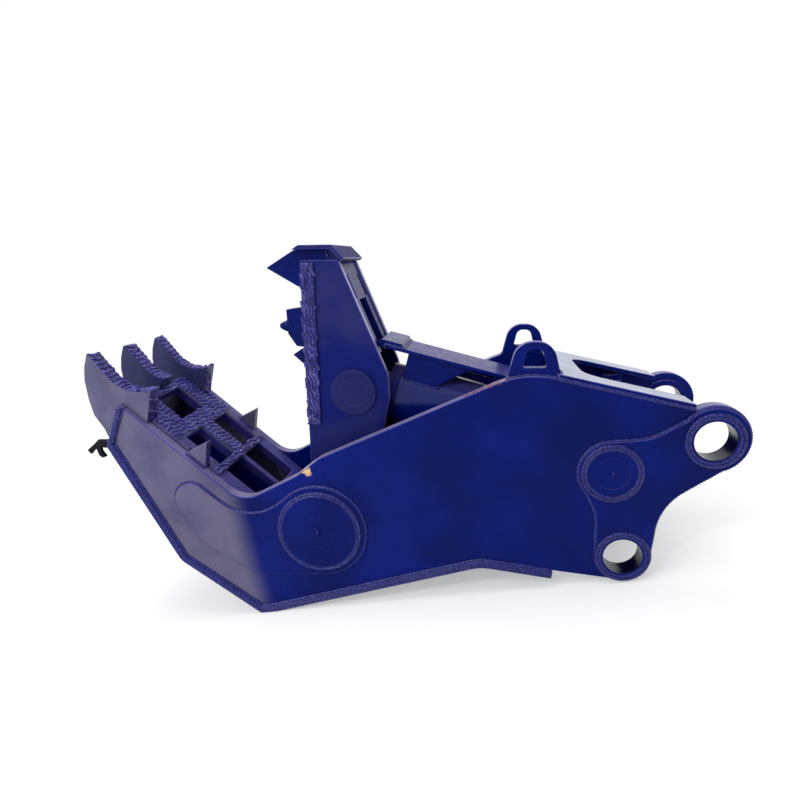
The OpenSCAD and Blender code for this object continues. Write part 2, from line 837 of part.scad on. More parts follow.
module tooth_outline()
    polygon(rounded(concat(
        [for (s = tooth_back_shares) with_r(on_tooth(s), 0)],
        [
            with_r(belly_front, 0),
            with_r(on_face(face_end, 0), 0),
            with_r(on_face(spike_u, 0), 0),
            with_r(on_face(spike_u + spike_lean, spike_h), 0),
            with_r(on_tooth(hollow_share), tooth_hollow_r),
            with_r(on_face(tooth_reach - tip_land, tip_h), 0)])));

module tooth_near() color(wear_tone) slab(-tooth_out, -tooth_in) tooth_outline();
module tooth_far() color(wear_tone) slab(tooth_in, tooth_out) tooth_outline();

module tooth_middle()
    color(wear_tone) {
        slab(-mid_tooth_t / 2, mid_tooth_t / 2)
            intersection() {
                tooth_outline();
                polygon([
                    on_face(face_end - mid_tooth_back, -2 * heel_depth), on_face(face_end - mid_tooth_back, spike_h),
                    on_face(tooth_reach, spike_h), on_face(tooth_reach, -2 * heel_depth)]);
            }
        face_box([face_end, face_end + rib_t], [mid_tooth_t / 2, mid_tooth_t / 2 + fin_t], [-face_t, wear_t * 2]);
    }

module side_fins()
    color(wear_tone)
        both_sides()
            slab(fin_out - fin_t, fin_out)
                polygon([
                    on_face(fin_u[1], 0),
                    on_face(fin_u[0], 0),
                    on_face(fin_u[0] + fin_lean, fin_h)]);

// Webs and ribs inside the box
module face_band(u0, u1)
    polygon([
        on_face(u0, -face_t - seat_gap), on_face(u1, -face_t - seat_gap),
        on_face(u1, -2 * heel_depth), on_face(u0, -2 * heel_depth)]);

front_rib_u = front_win[0] - win_bar / 2 - rib_t / 2;
rear_rib_u = mid_win[0] - rear_bar / 2 - rib_t / 2;
web_top = -face_t - seat_gap;
web_end = on_face(face_start, web_top);
web_front = front_rib_u - seat_gap;

module centre_web()
    color(paint)
        slab(-rib_t / 2, rib_t / 2)
            difference() {
                intersection() {
                    side_outline();
                    polygon([
                        on_face(web_front, web_top), web_end, [web_end[0], ground],
                        [belly_path[2][0], ground], on_face(web_front, -2 * heel_depth)]);
                }
                face_band(face_start - over, face_start + rib_t + seat_gap);
                face_band(rear_rib_u - seat_gap, rear_rib_u + rib_t + seat_gap);
            }

module front_rib()
    color(paint)
        slab(-side_in, side_in)
            intersection() {
                side_outline();
                face_band(front_rib_u, front_rib_u + rib_t);
            }

module rear_ribs()
    color(paint)
        slab(-side_in, side_in) {
            intersection() {
                side_outline();
                face_band(rear_rib_u, rear_rib_u + rib_t);
            }
            intersection() {
                side_outline();
                face_band(face_start, face_start + rib_t);
            }
            intersection() {
                side_outline();
                translate([belly_path[5][0] - bulkhead_set, ground]) square([rib_t, bulkhead_h]);
            }
        }

// Rear top plate, lying on the sloping back of the side plates
module top_plate()
    color(paint)
        translate([back_start[0], 0, back_start[1]])
            rotate([0, back_slope, 0])
                difference() {
                    translate([-top_near - top_l, -side_out, 0])
                        cube([top_l, body_w - 2 * ear_plate_t, top_t]);
                    translate([0, 0, -over])
                        linear_extrude(top_t + 2 * over) {
                            translate([-top_near - top_l + top_bridge_l + top_corner_r, -top_open_w / 2])
                                square([top_l, top_open_w]);
                            translate([-top_near - top_l + top_bridge_l, -top_open_w / 2 + top_corner_r])
                                square([top_l, top_open_w - 2 * top_corner_r]);
                            for (side = [-1, 1])
                                translate([-top_near - top_l + top_bridge_l + top_corner_r,
                                    side * (top_open_w / 2 - top_corner_r)])
                                    circle(top_corner_r);
                        }
                }

// Lifting lugs on top of the side plates
lug_corner_r = lug_t / 4;

module lug_outline()
    difference() {
        polygon(rounded([
            [-lug_w / 2, -lug_foot, 0],
            [-lug_w / 2, 0, 0],
            [-lug_top_w / 2, lug_h, lug_r],
            [lug_top_w / 2, lug_h, lug_r],
            [lug_w / 2, 0, 0],
            [lug_w / 2, -lug_foot, 0]]));
        polygon(rounded([
            [-lug_hole_w / 2, lug_hole_low, lug_corner_r],
            [-lug_hole_top_w / 2, lug_hole_low + lug_hole_h, lug_hole_top_w / 2],
            [lug_hole_top_w / 2, lug_hole_low + lug_hole_h, lug_hole_top_w / 2],
            [lug_hole_w / 2, lug_hole_low, lug_corner_r]]));
    }

// Side view of the top plate, with its seat below it
module top_outline()
    translate(back_start)
        rotate(-back_slope)
            translate([-top_near - top_l - seat_gap, -seat_gap])
                square([top_l + 2 * seat_gap, top_t + 2 * seat_gap]);

module lifting_lugs()
    color(paint)
        both_sides()
            slab(side_out - lug_inset - lug_t, side_out - lug_inset)
                difference() {
                    translate([-lug_back, hump_top]) rotate(-lug_tilt) lug_outline();
                    side_outline();
                    top_outline();
                }

// Forked tie hook at the near lower corner of the lower jaw
hook_shares = [[-0.04, 0.20], [-0.38, 0.25], [-0.60, 0.11], [-0.92, -0.06], [-0.82, -0.23], [-0.56, -0.04],
    [-0.54, -0.30], [-0.45, -0.42], [-0.28, -0.40], [-0.38, -0.17], [-0.35, -0.02],
    [-0.19, -0.09], [0.2, -0.1], [0.2, 0.2]];

module tie_hook()
    color(paint)
        slab(-tooth_out - seat_gap - hook_t, -tooth_out - seat_gap)
            difference() {
                translate(belly_front) polygon([for (s = hook_shares) s * hook_l]);
                nose_outline();
                belly_outline();
                translate(belly_front) square(hook_l);
            }

// Pins of the frame with keeper bars at the far end
module pin(at, r, l, y)
    difference() {
        bar(at, r, -y, y);
        keeper_groove(at, l, y);
    }

module pivot_pin() color(steel) pin(pivot, pivot_pin_d / 2, pivot_keeper_l, boss_out);
module base_pin() color(steel) pin(base, base_pin_d / 2, base_keeper_l, boss_out);

module base_spacers()
    color(paint)
        both_sides()
            tube(base, base_spacer_d / 2, base_pin_d / 2 + fit, base_eye_w / 2 + side_gap, side_in);

module thrust_washers()
    color(bronze)
        both_sides()
            tube(pivot, hub_d / 2, pivot_pin_d / 2 + fit, side_in - washer_t, side_in);

module frame_keepers()
    color(steel) {
        keeper(pivot, pivot_keeper_l, boss_out);
        keeper(base, base_keeper_l, boss_out);
    }

module frame_keeper_bolts()
    color(steel) {
        bolt_pair(pivot, pivot_keeper_l, boss_out);
        bolt_pair(base, base_keeper_l, boss_out);
    }

// Grease nipples in the near ends of the two frame pins
module nipple(at, y)
    translate([at[0], -y, at[1]])
        rotate([90, 0, 0]) {
            cylinder(d = nipple_d * 1.6, h = nipple_d * 0.5, $fn = 6);
            cylinder(d = nipple_d, h = nipple_d);
            translate([0, 0, nipple_d]) sphere(d = nipple_d);
        }

module grease_nipples()
    color(steel) {
        nipple(pivot, boss_out);
        nipple(base, boss_out);
    }

// Port block for the excavator's hoses, on the inside of the far plate
port_at = [-port_back, port_rise];

module port_block()
    color(paint)
        translate([port_at[0] - port_w / 2, side_in - port_t, port_at[1] - port_w / 2])
            cube([port_w, port_t, port_w]);

module port_adapters()
    color(steel)
        for (side = [-1, 1])
            translate([port_at[0] + side * port_w / 4, side_in - port_t, port_at[1]])
                rotate([90, 0, 0]) {
                    cylinder(d = adapter_d, h = adapter_l / 3, $fn = 6);
                    cylinder(d = adapter_d * 0.7, h = adapter_l);
                    translate([0, 0, adapter_l * 0.6]) cylinder(d = adapter_d * 0.9, h = adapter_l * 0.4);
                }

// Upper jaw plates
jaw_shares = [[1.131, 2.070], [0.960, 2.103], [0.614, 1.809]];
jaw_bend_r = [80, 40, 80];
jaw_top_q = 70.5;
jaw_back_a = on_jaw(jaw_l, jaw_top_q);
function by_rod_pin(share) = on_jaw(share[0] * rod_pin_w, share[1] * rod_pin_q);
jaw_back_b = by_rod_pin(jaw_shares[0]);
jaw_back_dir = unit(jaw_back_b - jaw_back_a);
// A place by the jaw's back edge: s down from its top, d inwards
function on_back(s, d) = jaw_back_a + s * jaw_back_dir - d * left_of(jaw_back_dir);

module jaw_body()
    polygon(rounded(concat(
        [
            with_r(on_jaw(0, -jaw_front), 0),
            with_r(on_jaw(jaw_l, -jaw_front), 0),
            with_r(jaw_back_a, 0)],
        [for (i = [0:2]) with_r(by_rod_pin(jaw_shares[i]), jaw_bend_r[i])],
        [with_r(on_jaw(jaw_lobe_r * 0.3, jaw_lobe_r * 0.95), 0)])));

module jaw_plate()
    difference() {
        union() {
            slab(jaw_in, jaw_half) jaw_body();
            bar(pivot, jaw_lobe_r, jaw_in, jaw_half);
        }
        bar(pivot, hub_d / 2 + weld_gap, jaw_in - over, jaw_half + over);
        bar(rod_centre, rod_boss_d / 2 + weld_gap, jaw_in - over, jaw_half + over);
    }

module jaw_plate_near() color(paint) mirror([0, 1, 0]) jaw_plate();
module jaw_plate_far() color(paint) jaw_plate();

module jaw_box(w, q, y)
    slab(y[0], y[1])
        polygon([on_jaw(w[0], q[0]), on_jaw(w[1], q[0]), on_jaw(w[1], q[1]), on_jaw(w[0], q[1])]);

jaw_face_q = [-jaw_front + face_sink, -jaw_front + face_sink + jaw_face_t];

module jaw_face_plate()
    color(paint)
        jaw_box([face_low, jaw_l - beak_root - 2 * weld_gap], jaw_face_q, [-jaw_in, jaw_in]);

module back_box(s, d, y)
    slab(y[0], y[1])
        polygon([on_back(s[0], d[0]), on_back(s[1], d[0]), on_back(s[1], d[1]), on_back(s[0], d[1])]);

module jaw_back_plate()
    color(paint)
        difference() {
            slab(-jaw_in, jaw_in)
                polygon([
                    crossing(on_back(0, back_sink), jaw_back_dir, cap_seat[1], unit(cap_seat[2] - cap_seat[1])),
                    cap_seat[1],
                    crossing(on_back(0, back_sink + jaw_back_t), jaw_back_dir, cap_seat[0], cap_dir),
                    on_back(back_l, back_sink + jaw_back_t),
                    on_back(back_l, back_sink)]);
            both_sides()
                back_box([slot_top, slot_top + slot_l], [0, back_sink + jaw_back_t + over],
                    [slot_y - slot_w / 2, slot_y + slot_w / 2]);
            back_box([slot_top + slot_l + back_sink, back_l + over], [0, back_sink + jaw_back_t + over],
                [-back_open_w / 2, back_open_w / 2]);
        }

// Crown of the upper jaw: two beak plates, a block between them and a cap
cap_lip = 21.5;
cap_top = [
    on_jaw(jaw_l + crown_h, -jaw_front - beak_step),
    crossing(jaw_back_a, jaw_back_dir, on_jaw(jaw_l + crown_h, 0), jaw_rear),
    on_jaw(jaw_l + beak_step, jaw_top_q + cap_lip)];
beak_tip = on_jaw(jaw_l - tip_drop, -jaw_front - beak_reach);
cap_low = shifted(cap_top, -cap_t);
// The line that the beak plates, the crown block and the back plate reach up to
cap_seat = shifted(cap_top, -cap_t - seat_gap);
brow_dir = unit(cap_top[0] - beak_tip);
cap_front = crossing(beak_tip, brow_dir, cap_low[0], unit(cap_low[1] - cap_low[0]));
cap_dir = unit(cap_low[1] - cap_low[0]);
crown_back = on_back(0, back_sink + jaw_back_t + 2 * weld_gap);
beak_foot = on_jaw(jaw_l - beak_root, -jaw_front - beak_step * 3);
beak_heel = crossing(beak_foot, jaw_rear, crown_back, jaw_back_dir);
crown_low = crossing(cap_seat[0], cap_dir, crown_back, jaw_back_dir);
beak_front = crossing(beak_tip, brow_dir, cap_seat[0], cap_dir);

module beaks()
    color(wear_tone)
        both_sides()
            slab(beak_gap / 2, beak_gap / 2 + beak_t)
                polygon([beak_tip, beak_front, crown_low, beak_heel, beak_foot]);

module crown_block()
    color(paint)
        slab(-beak_gap / 2, beak_gap / 2)
            polygon([crossing(beak_foot, jaw_dir, cap_seat[0], cap_dir), crown_low, beak_heel, beak_foot]);

module crown_cap()
    color(paint_lit)
        slab(-jaw_half, jaw_half)
            polygon([cap_top[0], cap_top[1], cap_top[2], cap_low[2], cap_low[1], cap_front]);

module wear_strips()
    color(wear_tone)
        both_sides()
            jaw_box([strip_low, jaw_l - strip_t], [-jaw_front, -jaw_front + strip_w], [jaw_half, jaw_half + strip_t]);

// Crushing teeth on the upper jaw's face
// Outlines of the crushing tooth and the wedge below it, as shares of their length and depth
crush_shares = [[0, 0], [1, 0], [0.9, 1], [0.34, 0.98], [0.05, 0.7]];
wedge_shares = [[0, 0], [0, 0.6], [0.26, 1], [0.63, 0.58], [1, 0]];
crush_seat_q = jaw_face_q[0] - seat_gap;

module crushing_tooth()
    color(wear_tone) {
        slab(-crush_w / 2, crush_w / 2)
            polygon([for (s = crush_shares) on_jaw(crush_low + s[0] * crush_l, crush_seat_q - s[1] * crush_block)]);
        translate([on_jaw(stud_w, 0)[0], 0, on_jaw(stud_w, 0)[1]])
            rotate([0, -jaw_angle, 0])
                for (i = [0:2])
                    translate([0, 0, -crush_seat_q + crush_block + (i - 0.2) * crush_stud * 0.25])
                        union() {
                            cylinder(r = stud_r * (1 - 0.16 * i), h = crush_stud * 0.18);
                            cylinder(r = stud_r * (0.86 - 0.16 * i), h = crush_stud * 0.25);
                            if (i == 2)
                                translate([0, 0, crush_stud * 0.22])
                                    sphere(r = stud_r * 0.54);
                        }
    }

module low_tooth_bar()
    color(wear_tone)
        slab(-crush_w / 2, crush_w / 2)
            polygon([for (s = wedge_shares)
                on_jaw(crush_low - weld_gap - s[0] * low_tooth_l, crush_seat_q - s[1] * low_tooth)]);

// Hub of the upper jaw with its bushes
hub_half = side_in - washer_t - side_gap;
hub_bore_r = pivot_pin_d / 2 + fit + pivot_bush_wall;

module hub_tube()
    color(paint)
        tube(pivot, hub_d / 2, hub_bore_r, -hub_half, hub_half);

module pivot_bushes()
    color(bronze)
        both_sides()
            tube(pivot, hub_bore_r, pivot_pin_d / 2 + fit, hub_half / 2, hub_half);

// Rod pin in its bosses
rod_boss_out = jaw_half + rod_boss_proud;

module rod_pin() color(steel) pin(rod_centre, rod_pin_d / 2, rod_keeper_l, rod_boss_out);

module rod_pin_bosses()
    color(paint) {
        mirror([0, 1, 0])
            tube(rod_centre, rod_boss_d / 2, rod_pin_d / 2 + fit, jaw_in, rod_boss_out);
        difference() {
            tube(rod_centre, rod_boss_d / 2, rod_pin_d / 2 + fit, jaw_in, rod_boss_out);
            keeper_groove(rod_centre, rod_keeper_l, rod_boss_out);
            keeper_holes(rod_centre, rod_keeper_l, rod_boss_out);
        }
    }

module rod_pin_spacers()
    color(paint)
        both_sides()
            tube(rod_centre, rod_spacer_d / 2, rod_pin_d / 2 + fit, rod_eye_w / 2 + side_gap, jaw_in);

module jaw_keeper() color(steel) keeper(rod_centre, rod_keeper_l, rod_boss_out);
module jaw_keeper_bolts() color(steel) bolt_pair(rod_centre, rod_keeper_l, rod_boss_out);

// Piston rod with its eye
eye_bore_r = rod_pin_d / 2 + fit + rod_bush_wall;
eye_neck_end = barrel_start - gland_out - neck_gap;
neck_r = rod_d / 2 + rod_bush_wall;
spigot_r = rod_d * 0.36;
spigot_start = rod_eye_d / 2;
piston_start = barrel_start + gland_in + stroke + neck_gap;
piston_r = cyl_bore_d / 2 - fit;
nut_l = piston_l / 3;

module round_solid(a0, a1, r)
    along_cylinder()
        translate([0, 0, a0])
            cylinder(r = r, h = a1 - a0);

module rod_eye()
    color(paint)
        difference() {
            union() {
                bar(rod_centre, rod_eye_d / 2, -rod_eye_w / 2, rod_eye_w / 2);
                intersection() {
                    round_solid(0, eye_neck_end, neck_r);
                    translate([rod_centre[0] - rod_eye_d, -rod_eye_w / 2, rod_centre[1] - rod_eye_d])
                        cube([2 * rod_eye_d, rod_eye_w, 2 * rod_eye_d]);
                }
            }
            bar(rod_centre, eye_bore_r, -rod_eye_w, rod_eye_w);
            round_solid(spigot_start, eye_neck_end + over, spigot_r);
        }

module rod_bush()
    color(bronze)
        tube(rod_centre, eye_bore_r, rod_pin_d / 2 + fit, -rod_eye_w / 2, rod_eye_w / 2);

module piston_rod()
    color(steel) {
        round_solid(spigot_start, eye_neck_end, spigot_r);
        round_solid(eye_neck_end, piston_start, rod_d / 2);
        round_solid(piston_start, piston_start + piston_l, spigot_r);
        along_cylinder()
            translate([0, 0, piston_start + piston_l])
                cylinder(r = spigot_r * 1.5, h = nut_l, $fn = 6);
    }

module piston()
    color(steel)
        difference() {
            round_solid(piston_start, piston_start + piston_l, piston_r);
            round_solid(piston_start - over, piston_start + piston_l + over, spigot_r);
            for (i = [0:1])
                difference() {
                    round_solid(seal_at(i), seal_at(i) + seal_w, piston_r + over);
                    round_solid(seal_at(i) - over, seal_at(i) + seal_w + over, piston_r - seal_t);
                }
        }

seal_w = piston_l / 6;
seal_t = seal_w * 0.7;
function seal_at(i) = piston_start + piston_l * (0.22 + 0.4 * i);

module piston_seals()
    color("dimgray")
        for (i = [0:1])
            difference() {
                round_solid(seal_at(i), seal_at(i) + seal_w, cyl_bore_d / 2 - fit / 4);
                round_solid(seal_at(i) - over, seal_at(i) + seal_w + over, piston_r - seal_t);
            }

// Barrel with its gland and base eye
barrel_end = barrel_start + barrel_l;

module barrel_tube()
    color(paint)
        difference() {
            round_solid(barrel_start, barrel_end, barrel_d / 2);
            round_solid(barrel_start - over, barrel_end + over, cyl_bore_d / 2);
        }

module base_eye()
    color(paint)
        difference() {
            union() {
                round_solid(barrel_end - plug_l, barrel_end, cyl_bore_d / 2);
                round_solid(barrel_end, barrel_end + cap_l, barrel_d / 2 - weld_gap);
                along_cylinder()
                    translate([-eye_web_h / 2, -eye_web_w / 2, barrel_end + cap_l / 2])
                        cube([eye_web_h, eye_web_w, cyl_l - barrel_end - cap_l / 2]);
                bar(base, base_eye_d / 2, -base_eye_w / 2, base_eye_w / 2);
            }
            bar(base, base_pin_d / 2 + base_play, -base_eye_w, base_eye_w);
        }

module gland_head()
    color(steel)
        difference() {
            union() {
                round_solid(barrel_start - gland_out, barrel_start, gland_d / 2);
                round_solid(barrel_start, barrel_start + gland_in, cyl_bore_d / 2);
            }
            round_solid(barrel_start - gland_out - over, barrel_start + gland_in + over, rod_d / 2 + fit);
            for (i = [0:5])
                along_cylinder()
                    rotate([0, 0, i * 60 + 30])
                        translate([(gland_d + rod_d) / 4, 0, barrel_start - gland_out - over])
                            cylinder(d = keeper_bolt_d, h = gland_out / 2);
        }

// Guard over the barrel: v above the axis, a along it
module cyl_box(a, v, y)
    slab(y[0], y[1])
        polygon([on_cyl(a[0], v[0]), on_cyl(a[1], v[0]), on_cyl(a[1], v[1]), on_cyl(a[0], v[1])]);

guard_low = guard_h - guard_top_t;
guard_half = guard_side_w / 2;

module cylinder_guard()
    color(paint)
        difference() {
            union() {
                cyl_box([guard_start, guard_start + guard_l], [guard_low, guard_h], [-guard_w / 2, guard_w / 2]);
                both_sides()
                    slab(guard_half - guard_side_t, guard_half) {
                        polygon([
                            on_cyl(barrel_start + gap_a, 0), on_cyl(barrel_start + gap_a, guard_low),
                            on_cyl(barrel_start + leg_top_l, guard_low), on_cyl(barrel_start + leg_low_l, barrel_d * 0.39),
                            on_cyl(barrel_start + leg_low_l, 0)]);
                        polygon([
                            on_cyl(guard_start + guard_l - rear_leg_l, 0),
                            on_cyl(guard_start + guard_l - rear_leg_l, guard_low),
                            on_cyl(guard_start + guard_l, guard_low), on_cyl(guard_start + guard_l, 0)]);
                    }
            }
            round_solid(-over, cyl_l, barrel_d / 2 + weld_gap);
        }

module guard_nose()
    color(wear_tone)
        slab(-guard_w / 2, guard_w / 2)
            polygon([
                on_cyl(guard_start, guard_low), on_cyl(guard_start, guard_h),
                on_cyl(guard_start + nose_over, guard_h),
                on_cyl(guard_start + nose_over - guard_top_t, guard_low + guard_nose_h),
                on_cyl(guard_start - nose_ahead + guard_top_t, guard_low + guard_nose_h),
                on_cyl(guard_start - nose_ahead, guard_low + guard_nose_h / 2),
                on_cyl(guard_start - nose_ahead, guard_low)]);

// Oil tube along the barrel between two blocks
tube_v = barrel_d / 2 + oil_tube_d * 0.75;
oil_a = [barrel_start + oil_front, barrel_end - oil_rear];

module oil_tube()
    color(steel)
        along_cylinder()
            translate([-tube_v, 0, oil_a[0] + oil_block_l])
                cylinder(d = oil_tube_d, h = oil_a[1] - oil_a[0] - oil_block_l);

module oil_fittings()
    color(steel)
        difference() {
            union() {
                for (a = oil_a)
                    cyl_box([a, a + oil_block_l], [0, tube_v + oil_tube_d * 0.8], [-oil_tube_d, oil_tube_d]);
                for (side = [-1, 1])
                    along_cylinder()
                        translate([-tube_v, side * oil_tube_d * 0.55, oil_a[1] + oil_block_l])
                            cylinder(d = oil_tube_d * 0.9, h = adapter_l, $fn = 6);
            }
            round_solid(-over, cyl_l, barrel_d / 2 + weld_gap);
        }

side_plate_near();
side_plate_far();
ear_plates();
cheek_plates();
arm_sleeves();
link_sleeves();
pivot_bosses();
base_bosses();
belly_plate();
nose_plate();
face_plate();
wear_plate();
tooth_near();
tooth_middle();
tooth_far();
side_fins();
centre_web();
front_rib();
rear_ribs();
piston_seals();
top_plate();
lifting_lugs();
tie_hook();
pivot_pin();
base_pin();
base_spacers();
thrust_washers();
frame_keepers();
frame_keeper_bolts();
port_block();
port_adapters();
jaw_plate_near();
jaw_plate_far();
jaw_face_plate();
jaw_back_plate();
beaks();
crown_block();
crown_cap();
wear_strips();
crushing_tooth();
low_tooth_bar();
hub_tube();
pivot_bushes();
rod_pin();
rod_pin_bosses();
rod_pin_spacers();
jaw_keeper();
jaw_keeper_bolts();
grease_nipples();
rod_eye();
rod_bush();
piston_rod();
piston();
barrel_tube();
base_eye();
gland_head();
cylinder_guard();
guard_nose();
oil_tube();
oil_fittings();
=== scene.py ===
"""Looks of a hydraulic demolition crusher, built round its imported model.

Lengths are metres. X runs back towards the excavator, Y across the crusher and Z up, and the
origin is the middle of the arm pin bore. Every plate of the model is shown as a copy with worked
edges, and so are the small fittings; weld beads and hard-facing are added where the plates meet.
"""

import json
import logging
import math
import random
from collections.abc import Callable, Iterable, Sequence
from dataclasses import dataclass, field
from enum import Enum

import bmesh
import bpy
from mathutils import Matrix, Vector, noise
from mathutils.bvhtree import BVHTree

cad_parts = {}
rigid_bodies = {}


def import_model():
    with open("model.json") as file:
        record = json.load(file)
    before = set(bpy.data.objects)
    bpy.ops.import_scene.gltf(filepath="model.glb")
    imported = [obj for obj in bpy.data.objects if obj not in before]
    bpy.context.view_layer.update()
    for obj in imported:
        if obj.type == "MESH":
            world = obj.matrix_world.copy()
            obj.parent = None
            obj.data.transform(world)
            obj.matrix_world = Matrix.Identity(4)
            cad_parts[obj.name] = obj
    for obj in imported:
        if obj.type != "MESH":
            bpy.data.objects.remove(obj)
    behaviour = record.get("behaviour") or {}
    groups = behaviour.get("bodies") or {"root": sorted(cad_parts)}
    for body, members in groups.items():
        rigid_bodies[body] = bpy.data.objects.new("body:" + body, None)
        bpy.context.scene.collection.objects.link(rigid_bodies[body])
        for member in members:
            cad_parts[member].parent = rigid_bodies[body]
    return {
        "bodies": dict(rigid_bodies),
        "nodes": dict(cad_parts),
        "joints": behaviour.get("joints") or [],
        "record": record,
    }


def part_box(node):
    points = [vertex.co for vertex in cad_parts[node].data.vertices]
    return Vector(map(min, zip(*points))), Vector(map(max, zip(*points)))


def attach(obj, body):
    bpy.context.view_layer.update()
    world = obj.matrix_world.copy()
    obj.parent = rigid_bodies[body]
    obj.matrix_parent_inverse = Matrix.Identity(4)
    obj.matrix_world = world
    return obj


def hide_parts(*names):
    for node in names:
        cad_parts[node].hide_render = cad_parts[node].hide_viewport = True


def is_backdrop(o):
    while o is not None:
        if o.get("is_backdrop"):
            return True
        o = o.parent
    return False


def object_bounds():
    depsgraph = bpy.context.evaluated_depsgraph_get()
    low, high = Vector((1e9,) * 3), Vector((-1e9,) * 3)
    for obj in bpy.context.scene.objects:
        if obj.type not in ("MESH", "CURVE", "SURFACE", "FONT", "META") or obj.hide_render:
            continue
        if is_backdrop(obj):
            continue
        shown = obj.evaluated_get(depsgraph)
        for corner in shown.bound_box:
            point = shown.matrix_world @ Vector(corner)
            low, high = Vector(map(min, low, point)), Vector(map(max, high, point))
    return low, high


LOG = logging.getLogger("crusher")
FaceTest = Callable[[bmesh.types.BMFace], bool]
PointTest = Callable[[Vector], bool]
Rgba = tuple[float, float, float, float]
Material = bpy.types.Material
Socket = bpy.types.NodeSocket
Feed = Socket | float | Sequence[float]
Spots = tuple[tuple[float, float, float, float, "Colour"], ...]

# A face looks along a direction when this share of its normal lies along it.
FACING = 0.7


def sided(joins: Iterable[tuple[str, str]]) -> list[tuple[str, str]]:
    """Fills in the sides of joins that are there near and far.

    Args:
        joins: Pairs of nodes, with {} where near or far goes.

    Returns:
        Every pair once, near before far.
    """
    sides = ("near", "far")
    return list(dict.fromkeys((a.format(side), b.format(side)) for a, b in joins for side in sides))


class Slot(Enum):
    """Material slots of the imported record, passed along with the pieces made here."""

    PAINT = "blue_paint"
    FACE = "face_paint"
    WEAR = "hard_facing"
    STEEL = "machined_steel"


class Body(Enum):
    """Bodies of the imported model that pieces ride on."""

    FRAME = "frame"
    JAW = "upper_jaw"
    ROD = "rod"
    BARREL = "barrel"


@dataclass(frozen=True)
class Colour:
    """A colour as it looks on a screen, each channel from 0 to 255."""

    red: int
    green: int
    blue: int

    def linear(self) -> Rgba:
        """Returns the colour as a shader takes it."""
        def channel(value: int) -> float:
            """Returns one channel without the screen's curve."""
            v = value / 255
            return v / 12.92 if v <= 0.04045 else ((v + 0.055) / 1.055) ** 2.4

        return (channel(self.red), channel(self.green), channel(self.blue), 1.0)


def feed(tree: bpy.types.NodeTree, socket: Socket, value: Feed) -> None:
    """Links a socket or sets its value.

    Args:
        tree: The node tree.
        socket: The input to feed.
        value: The output to link to it, or the value to set.
    """
    if isinstance(value, Socket):
        tree.links.new(value, socket)
    else:
        socket.default_value = value


def add_node(tree: bpy.types.NodeTree, kind: str, inputs: dict[str | int, Feed] | None = None,
             **settings: str) -> bpy.types.Node:
    """Adds a shader node and feeds its inputs.

    Args:
        tree: The node tree.
        kind: The node's type, without the word ShaderNode.
        inputs: What to feed the inputs with, by name or number.
        settings: The node's own settings.

    Returns:
        The node.
    """
    node = tree.nodes.new("ShaderNode" + kind)
    for name, value in settings.items():
        setattr(node, name, value)
    for name, value in (inputs or {}).items():
        feed(tree, node.inputs[name], value)
    return node


